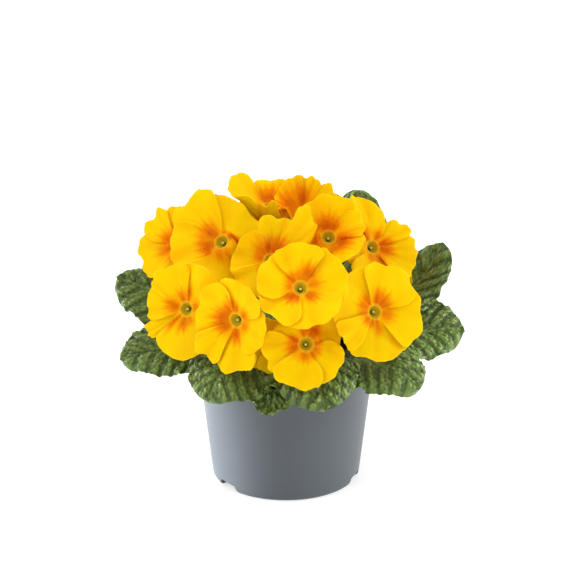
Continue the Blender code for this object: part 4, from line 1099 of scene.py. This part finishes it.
class Leaf:
    """One leaf's upper surface: u is from -1 to 1 across it, and v from 0 to 1 along its midrib."""

    def __init__(self, index, spec):
        azimuth, foot, shoulder, tip, self.half_width, lean = spec
        self.index = index
        self.out = np.array(heading(azimuth))
        self.side = np.array((-self.out[1], self.out[0], 0.0))
        self.foot = self.out * foot
        self.foot[2] = PEAT_TOP - HOLE_DEPTH
        self.lean = math.radians(lean)
        rise = (shoulder[1] - PEAT_TOP) * 0.75
        ends = ((foot, PEAT_TOP + 0.003), (foot + 0.002, PEAT_TOP + rise), shoulder, tip)
        self.path = [np.array(end) for end in ends]
        draw = random.Random(500 + index)
        self.phase = draw.uniform(0, math.tau)
        self.wave = draw.uniform(0.8, 1.2)
        spots = [bezier(self.path, v) for v in np.linspace(LEAF_BLADE_SHARE, 1, 30)]
        self.length = sum(np.linalg.norm(b - a) for a, b in zip(spots, spots[1:]))

    def width(self, v):
        """Half width of the leaf at a share v of its length."""
        q = np.maximum(blade_share(v), 0.0)
        swell = smooth(0.0, 0.50, q)
        close = np.maximum(1 - np.maximum((q - 0.52) / 0.50, 0.0) ** 2.5, 0.0) ** 0.4
        wide = PETIOLE_HALF_WIDTH + (self.half_width - PETIOLE_HALF_WIDTH) * swell
        return np.where(v <= LEAF_BLADE_SHARE, PETIOLE_HALF_WIDTH, wide * close)

    def spot(self, u, v, raised, wide):
        """The surface at u and v, raised off it by some height."""
        u, v, raised, wide = np.broadcast_arrays(u, v, raised, wide)
        blade = smooth(LEAF_BLADE_SHARE, LEAF_BLADE_SHARE + 0.15, v)
        q = blade_share(v)
        swept = v - LEAF_SWEEP * blade * np.abs(u) ** 1.5 * (1 - q) * np.maximum(q, 0.0)
        path = [p[:, None, None] for p in self.path]
        at = bezier(path, swept)
        along = unit(bezier_slope(path, swept))
        zero = np.zeros_like(swept)
        out = self.out[:, None, None]
        side = self.side[:, None, None] + zero
        forward = out * along[0] + np.stack([zero, zero, along[1]])
        up = unit(np.cross(forward, side, axis=0))
        lean = self.lean * smooth(LEAF_BLADE_SHARE, 0.9, v)
        leaned = side * np.cos(lean) + up * np.sin(lean)
        up = unit(np.cross(forward, leaned, axis=0))
        point = out * at[0] + np.stack([zero, zero, at[1]]) + leaned * (u * wide)
        droop = -LEAF_DROOP * self.half_width * u * u * blade
        groove = LEAF_GROOVE * np.maximum(1 - np.abs(u), 0) ** 3 * blade
        wave = LEAF_WAVE * blade * np.abs(u) ** 3 * np.sin(9 * v * self.wave + self.phase + 2 * u)
        point = point + up * (droop - groove + wave + raised * blade)
        return np.moveaxis(point, 0, -1)

    def settled(self, solid):
        """How the solid of this leaf was bent up or down, carried to any point of the blade."""
        flat, moved = [], []
        corners = np.array([tuple(v.co) for v in solid.data.vertices])
        for row in range(LEAF_BLADE_ROWS):
            v = LEAF_BLADE_SHARE + (1 - LEAF_BLADE_SHARE) * row / (LEAF_BLADE_ROWS - 1)
            v = min(v, LEAF_LAST_ROW)
            wide = self.width(np.array([[v]]))
            for u in np.linspace(-1, 1, LEAF_CELLS_ACROSS + 1):
                bare = self.cell_corner(row, u, v, wide)
                near = np.linalg.norm(corners[:, :2] - bare[:2], axis=1) < SAME_POINT
                moved.append((corners[near][:, 2].max() - bare[2] if near.any() else 0.0,))
                flat.append((u * float(wide[0, 0]), v * self.length))
        return Spread(flat, np.array(moved))

    def cell_corner(self, row, u, v, wide):
        """A corner of the solid's puckered cells, as it was before the solid was bent."""
        edge = abs(u) == 1
        bulge = LEAF_PUCKER if row % 2 else -LEAF_PUCKER * 0.3
        raised = -bulge * 0.5 if edge else bulge * math.sin(math.pi * abs(u))
        tooth = LEAF_TOOTH / self.half_width * (1 if row % 2 else -1)
        return self.spot(np.array([[u * (1 + tooth * edge)]]), np.array([[v]]), raised, wide)[0, 0]

    def veins(self, x, y):
        """Relief from the veins, and the painted shade and highlight that go with it: x is across the
        blade and y along it, in metres.
        """
        across = np.abs(x)
        other_side = np.where(x > 0, 0.45 * VEIN_SPACING, 0.0)
        slanted = y - VEIN_SLANT * across - VEIN_CURVE * across**2 + other_side
        cell = slanted / VEIN_SPACING + 0.1 * np.sin(x * 260 + self.phase)
        to_side = np.abs(cell - np.round(cell)) * VEIN_SPACING * 0.82
        puff = (1 - hump(to_side, 0.0012)) * (1 - hump(across, 0.0018))
        coarse = 1 - hump(self.cell_wall(x * 0.80, slanted, COARSE_CELL, 0), 0.0011)
        fine = 1 - hump(self.cell_wall(x, y, FINE_CELL, 1), 0.0007)
        relief = 0.0010 * puff + 0.0012 * coarse + 0.0006 * fine
        # Painted shade and highlight: low in the vein valleys and cell walls, high on the puffed cells
        shade = puff * (0.30 + 0.35 * coarse + 0.35 * fine)
        sides = 0.50 * hump(to_side, 0.0004) * smooth(0.026, 0.006, across)
        return relief, shade, np.clip(np.maximum(hump(across, 0.0009), sides), 0, 1)

    def cell_wall(self, x, y, size, salt):
        """How much further the second nearest seed of a jittered grid of cells is than the nearest."""
        draw = np.random.default_rng(700 + self.index * 10 + salt)
        columns, rows = int(0.070 / size) + 3, int(0.110 / size) + 3
        jitter = draw.uniform(-0.42, 0.42, (columns, rows, 2))
        column, row = (x + 0.035) / size, (y + 0.020) / size
        base_column, base_row = np.floor(column).astype(int), np.floor(row).astype(int)
        nearest = np.full(x.shape, 1.0)
        second = np.full(x.shape, 1.0)
        for i, j in itertools.product((-1, 0, 1), repeat=2):
            a = np.clip(base_column + i, 0, columns - 1)
            b = np.clip(base_row + j, 0, rows - 1)
            seed = jitter[a, b]
            gap = np.hypot(column - (a + 0.5 + seed[..., 0]), row - (b + 0.5 + seed[..., 1])) * size
            second = np.minimum(second, np.maximum(nearest, gap))
            nearest = np.minimum(nearest, gap)
        return second - nearest


def blade_share(v):
    """How far along the blade alone a share of the leaf's length is."""
    return (v - LEAF_BLADE_SHARE) / (1 - LEAF_BLADE_SHARE)


def leaf_grid():
    """Shares across and along the leaf of the fine surface's columns and rows."""
    x = np.linspace(-1, 1, LEAF_ACROSS + 1)
    u = 0.8 * x + 0.2 * np.sin(x * math.pi / 2)
    stem = np.linspace(0.0, LEAF_BLADE_SHARE, LEAF_STEM_ROWS + 1)[:-1]
    q = 1 - (1 - np.linspace(0.0, 1.0, LEAF_ALONG + 1)) ** 1.12
    v = np.concatenate([stem, LEAF_BLADE_SHARE + (1 - LEAF_BLADE_SHARE) * q])
    return u[None, :], v[:, None], np.clip(blade_share(v), 0, 1)[:, None]


def leaf_points(leaf, u, v, q, solid):
    """The fine surface's points, and how it is shaded and veined."""
    oval = np.sqrt(1 - np.clip(q * 2 - 1, 0, 1) ** 2.3)
    wide = np.where(q > 0.5, leaf.half_width * oval, leaf.width(v))
    lobes = 0.5 + 0.5 * np.sin(v * leaf.length / TOOTH_LENGTH * math.pi + leaf.phase)
    edge = smooth(0.86, 1.0, np.abs(u)) * smooth(0.05, 0.3, q)
    toothed = wide * (1 + TOOTH_SHARE * (lobes**0.7 - 0.5) * edge)
    across, along = np.broadcast_arrays(u * wide, v * leaf.length)
    relief, shade, vein = leaf.veins(across, along)
    calm = smooth(0.0, 0.25, q)
    ripple = RIPPLE_HEIGHT * np.sin(along / RIPPLE_LENGTH * math.pi + leaf.phase * 2) * np.abs(u) ** 4
    raised = (relief - RELIEF_MIDDLE) * (0.35 + 0.65 * calm) + ripple * calm
    points = leaf.spot(u, v, raised, toothed)
    flat = np.stack([across, along], axis=-1).reshape(-1, 2)
    settle = leaf.settled(solid).at(flat).reshape(along.shape)
    points[..., 2] += settle * smooth(LEAF_BLADE_SHARE - 0.05, LEAF_BLADE_SHARE + 0.10, v)
    points[..., 2] += LEAF_LIFTS.get(leaf.index + 1, 0.0) * smooth(LEAF_BLADE_SHARE, 1.0, v)
    foot = leaf.foot[None, :] + leaf.side[None, :] * (u.ravel() * PETIOLE_HALF_WIDTH)[:, None]
    return np.concatenate([foot, points.reshape(-1, 3)]), shade, vein


def with_foot(at_foot, values, shape):
    """Values for a leaf's points, which start with a row at its foot."""
    return np.concatenate([np.full(shape[1], at_foot), np.broadcast_to(values, shape).ravel()])


def make_leaf(index, spec, finish, solid):
    leaf = Leaf(index, spec)
    u, v, q = leaf_grid()
    shape = (v.size, u.size)
    points, shade, vein = leaf_points(leaf, u, v, q, solid)
    base = smooth(0.55, 0.0, q) * (0.35 + 0.65 * hump(u, 0.25))
    values = {
        # The painted shade and highlight that follow the relief
        "relief": with_foot(0.0, shade, shape),
        "vein": with_foot(0.0, vein * (1 - 0.55 * q), shape),
        "base": with_foot(1.0, base, shape),
        # Painted shade near the plant's heart, under the blooms
        "deep": 0.85 * smooth(0.056, 0.038, np.hypot(points[:, 0], points[:, 1])),
    }
    name = f"leaf_{index + 1:02d}"
    faces = bands(grid_rows(0, v.size + 1, u.size))
    obj = piece(f"{name}_blade", name, points, faces, finish, values)
    rib = np.where(v <= LEAF_BLADE_SHARE, 1.0, hump(u, 0.10) * (1 - 0.75 * q) * 0.8)
    group = obj.vertex_groups.new(name="thick")
    for i, weight in enumerate(with_foot(1.0, rib, shape)):
        group.add([i], float(weight), "REPLACE")
    modifier = shell(obj, LEAF_THICKNESS, -1.0)
    modifier.vertex_group = group.name
    modifier.thickness_vertex_group = LEAF_THIN_SHARE


# Pot and peat


def lathe(name, profile, steps):
    """A turned solid, from a profile of (radius, height) that starts and ends on the axis."""
    bm = bmesh.new()
    verts = [bm.verts.new((r, 0.0, z)) for r, z in profile]
    edges = [bm.edges.new(pair) for pair in zip(verts, verts[1:])]
    turn = {"axis": (0, 0, 1), "cent": (0, 0, 0), "angle": math.tau, "steps": steps}
    bmesh.ops.spin(bm, geom=verts + edges, use_merge=True, **turn)
    bmesh.ops.remove_doubles(bm, verts=bm.verts, dist=0.00001)
    bmesh.ops.recalc_face_normals(bm, faces=bm.faces)
    return mesh_of(bm, name)


def rounded(corners, size, count=4):
    """An outline with its marked corners rounded: each is (radius, height, share of the size)."""
    made = []
    for (r, z, soft), last, following in zip(corners, corners[-1:] + corners, corners[1:] + corners[:1]):
        here = np.array((r, z))
        if not soft:
            made.append((r, z))
            continue
        before = np.array(last[:2]) - here
        after = np.array(following[:2]) - here
        cut = min(size * soft, np.linalg.norm(before) * 0.45, np.linalg.norm(after) * 0.45)
        a = here + before / np.linalg.norm(before) * cut
        b = here + after / np.linalg.norm(after) * cut
        for t in np.linspace(0.0, 1.0, count + 1):
            made.append(tuple(a * (1 - t) ** 2 + here * 2 * t * (1 - t) + b * t * t))
    return made


def pot_profile():
    collar_foot = POT_HEIGHT - POT_COLLAR_HEIGHT
    foot_middle = (POT_FOOT_OUTER + POT_BASE_RADIUS) / 2
    corners = [
        (0.0, POT_FLOOR + POT_WALL, 0),
        (POT_FOOT_INNER - 0.0006, POT_FLOOR + POT_WALL, 1),
        (POT_FOOT_INNER + 0.0008, POT_WALL, 1),
        (POT_FOOT_OUTER - 0.0005, POT_WALL, 1),
        (POT_BASE_RADIUS - POT_WALL, POT_FOOT_CURVE + 0.0004, 1),
        (POT_SHOULDER_RADIUS - POT_WALL, collar_foot - 0.0008, 1),
        (POT_RIM_RADIUS - POT_COLLAR_STEP, collar_foot + 0.0006, 1),
        (POT_RIM_RADIUS - POT_COLLAR_STEP, POT_HEIGHT, 1),
        (POT_RIM_RADIUS, POT_HEIGHT, 1),
        (POT_RIM_RADIUS - 0.0003, collar_foot, 1),
        (POT_SHOULDER_RADIUS, collar_foot - 0.0008, 1),
        (POT_BASE_RADIUS, POT_FOOT_CURVE, 4),
        (foot_middle + 0.0004, 0.0018, 2),
        (POT_FOOT_OUTER, 0.0, 1),
        (POT_FOOT_INNER, 0.0, 1),
        (POT_FOOT_INNER - 0.0012, POT_FLOOR, 1),
        (0.0, POT_FLOOR, 0),
    ]
    return rounded(corners, 0.0007)


def notch_cutter(azimuth):
    """A block with slanting ends and rounded upper corners, across the foot ring's outer edge."""
    bm = bmesh.new()
    bmesh.ops.create_cube(bm, size=1.0)
    for vert in bm.verts:
        if vert.co.z > 0:
            vert.co.y *= NOTCH_TOP_SHARE
    bmesh.ops.scale(bm, vec=(NOTCH_DEPTH, NOTCH_WIDTH, NOTCH_HEIGHT * 2), verts=bm.verts)
    upper = [edge for edge in bm.edges if min(v.co.z for v in edge.verts) > 0]
    ends = [edge for edge in upper if abs(edge.verts[0].co.y - edge.verts[1].co.y) < 1e-9]
    bmesh.ops.bevel(bm, geom=ends, offset=NOTCH_ROUND, segments=5, profile=0.5, affect="EDGES")
    bmesh.ops.translate(bm, vec=(POT_FOOT_OUTER + 0.0015, 0.0, 0.0), verts=bm.verts)
    turn = Matrix.Rotation(math.radians(azimuth), 4, "Z")
    bmesh.ops.transform(bm, matrix=turn, verts=bm.verts)
    return bm


def drain_cutter(azimuth):
    bm = bmesh.new()
    size = {"radius1": DRAIN_RADIUS, "radius2": DRAIN_RADIUS, "depth": POT_FLOOR}
    bmesh.ops.create_cone(bm, cap_ends=True, segments=32, **size)
    middle = heading(azimuth) * DRAIN_CIRCLE + UP * (POT_FLOOR + POT_WALL / 2)
    bmesh.ops.translate(bm, vec=middle, verts=bm.verts)
    return bm


def cut(obj, bm):
    """Cuts a block out of a piece's mesh."""
    cutter = new_object("cutter", mesh_of(bm, "cutter"))
    modifier = obj.modifiers.new("Cut", "BOOLEAN")
    modifier.operation = "DIFFERENCE"
    modifier.solver = "EXACT"
    modifier.object = cutter
    cut_piece = obj.evaluated_get(bpy.context.evaluated_depsgraph_get())
    made = bpy.data.meshes.new_from_object(cut_piece)
    obj.modifiers.clear()
    obj.data = made
    bpy.data.objects.remove(cutter)


def make_pot(finish):
    obj = new_object("pot_shell", lathe("pot_shell", pot_profile(), POT_STEPS))
    for azimuth in NOTCH_AZIMUTHS:
        cut(obj, notch_cutter(azimuth))
    for i in range(DRAIN_COUNT):
        cut(obj, drain_cutter(360 * i / DRAIN_COUNT))
    obj.data.materials.clear()
    obj.data.materials.append(finish)
    obj.data.shade_smooth()
    obj.data.set_sharp_from_angle(angle=math.radians(35))
    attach(obj, "root")
    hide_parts("pot")


def make_peat(finish):
    """A plug of peat with a crumbly top."""
    draw = np.random.default_rng(11)
    theta = np.arange(PEAT_STEPS) * math.tau / PEAT_STEPS
    top_radius = POT_SHOULDER_RADIUS - POT_WALL - GAP * 2 - 0.0006
    bottom_radius = POT_FOOT_INNER - 0.0006
    rings = []
    for share in np.arange(1, PEAT_RINGS + 1) / PEAT_RINGS:
        height = PEAT_TOP + PEAT_MOUND * (1 - share * share)
        relief = draw.normal(0.0, PEAT_CRUMB, PEAT_STEPS) * (1 if share < 1 else 0.3)
        rings.append((top_radius * share, height + relief - 0.0004))
    rings.append((bottom_radius + 0.0048, 0.0085))
    rings.append((bottom_radius, POT_FLOOR + POT_WALL + GAP))
    verts = [(0.0, 0.0, PEAT_TOP + PEAT_MOUND)]
    for radius, height in rings:
        level = np.broadcast_to(height, theta.shape)
        verts += list(np.stack([radius * np.cos(theta), radius * np.sin(theta), level], axis=-1))
    faces = []
    for k in range(PEAT_STEPS):
        after = (k + 1) % PEAT_STEPS
        faces.append((0, 1 + k, 1 + after))
        for row in range(len(rings) - 1):
            low, high = 1 + row * PEAT_STEPS, 1 + (row + 1) * PEAT_STEPS
            faces.append((low + k, high + k, high + after, low + after))
    faces.append(tuple(1 + (len(rings) - 1) * PEAT_STEPS + k for k in reversed(range(PEAT_STEPS))))
    piece("peat_plug", "peat", verts, faces, finish)


# Studio


def make_camera():
    data = bpy.data.cameras.new("camera")
    data.lens = LENS
    data.sensor_width = 36.0
    data.clip_start = 0.05
    camera = new_object("camera", data)
    back = heading(270, CAMERA_ELEVATION)
    camera.location = TARGET + back * CAMERA_DISTANCE
    camera.rotation_mode = "QUATERNION"
    camera.rotation_quaternion = (-back).to_track_quat("-Z", "Y")
    bpy.context.scene.camera = camera


def make_world():
    """A white room that is brighter above, and as bright as the floor where it meets it."""
    world = bpy.data.worlds.new("studio")
    bpy.context.scene.world = world
    world.use_nodes = True
    tree = world.node_tree
    background = tree.nodes["Background"]
    set_inputs(background, {"Color": (1.0, 1.0, 1.0, 1.0)})
    place = node(tree, "ShaderNodeTexCoord")
    split = node(tree, "ShaderNodeSeparateXYZ")
    tree.links.new(place.outputs["Generated"], split.inputs[0])
    height = remap(tree, split.outputs["Z"], 0.0, 1.0, 0.40, 1.50)
    cove = remap(tree, split.outputs["Z"], 0.07, 0.14, 1.0, 0.0)
    tree.links.new(math_node(tree, "MAXIMUM", height, cove), background.inputs["Strength"])


def make_floor():
    mesh = bpy.data.meshes.new("floor")
    corners = ((-1, -1), (1, -1), (1, 1), (-1, 1))
    verts = [(x * FLOOR_REACH, y * FLOOR_REACH, -FLOOR_DROP) for x, y in corners]
    mesh.from_pydata(verts, [], [(0, 1, 2, 3)])
    mesh.materials.append(floor_material())
    floor = new_object("floor", mesh)


def light_only(light, starts):
    """Keeps a light to the pieces whose names start so."""
    made = bpy.data.collections.new(f"lit by {light.name}")
    for obj in bpy.context.scene.objects:
        if obj.type == "MESH" and obj.name.startswith(starts):
            made.objects.link(obj)
    light.light_linking.receiver_collection = made


def add_light(name, place, size, power):
    data = bpy.data.lights.new(name, "AREA")
    data.shape = "DISK"
    data.size = size
    data.energy = power
    obj = new_object(name, data)
    obj.location = place
    obj.rotation_mode = "QUATERNION"
    obj.rotation_quaternion = (Vector(place) - TARGET).to_track_quat("Z", "Y")
    return obj


def make_studio():
    bpy.context.scene.view_settings.view_transform = "Standard"
    make_camera()
    make_world()
    make_floor()
    for name, place, size, power, starts in LIGHTS:
        light = add_light(name, place, size, power)
        if starts:
            light_only(light, starts)


def main(nodes):
    corollas = make_blooms(petal_material())
    green = stalk_material()
    pistil = pistil_material()
    for index, (corolla, spec) in enumerate(zip(corollas, BLOOMS)):
        make_stalk(index, corolla, spec, green)
        make_pistil(index, corolla, pistil)
    leaf_green = leaf_material()
    for index, spec in enumerate(LEAVES):
        make_leaf(index, spec, leaf_green, nodes[f"leaf_{index + 1:02d}"])
    make_pot(pot_material())
    make_peat(peat_material())
    make_studio()


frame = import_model()
main(frame["nodes"])
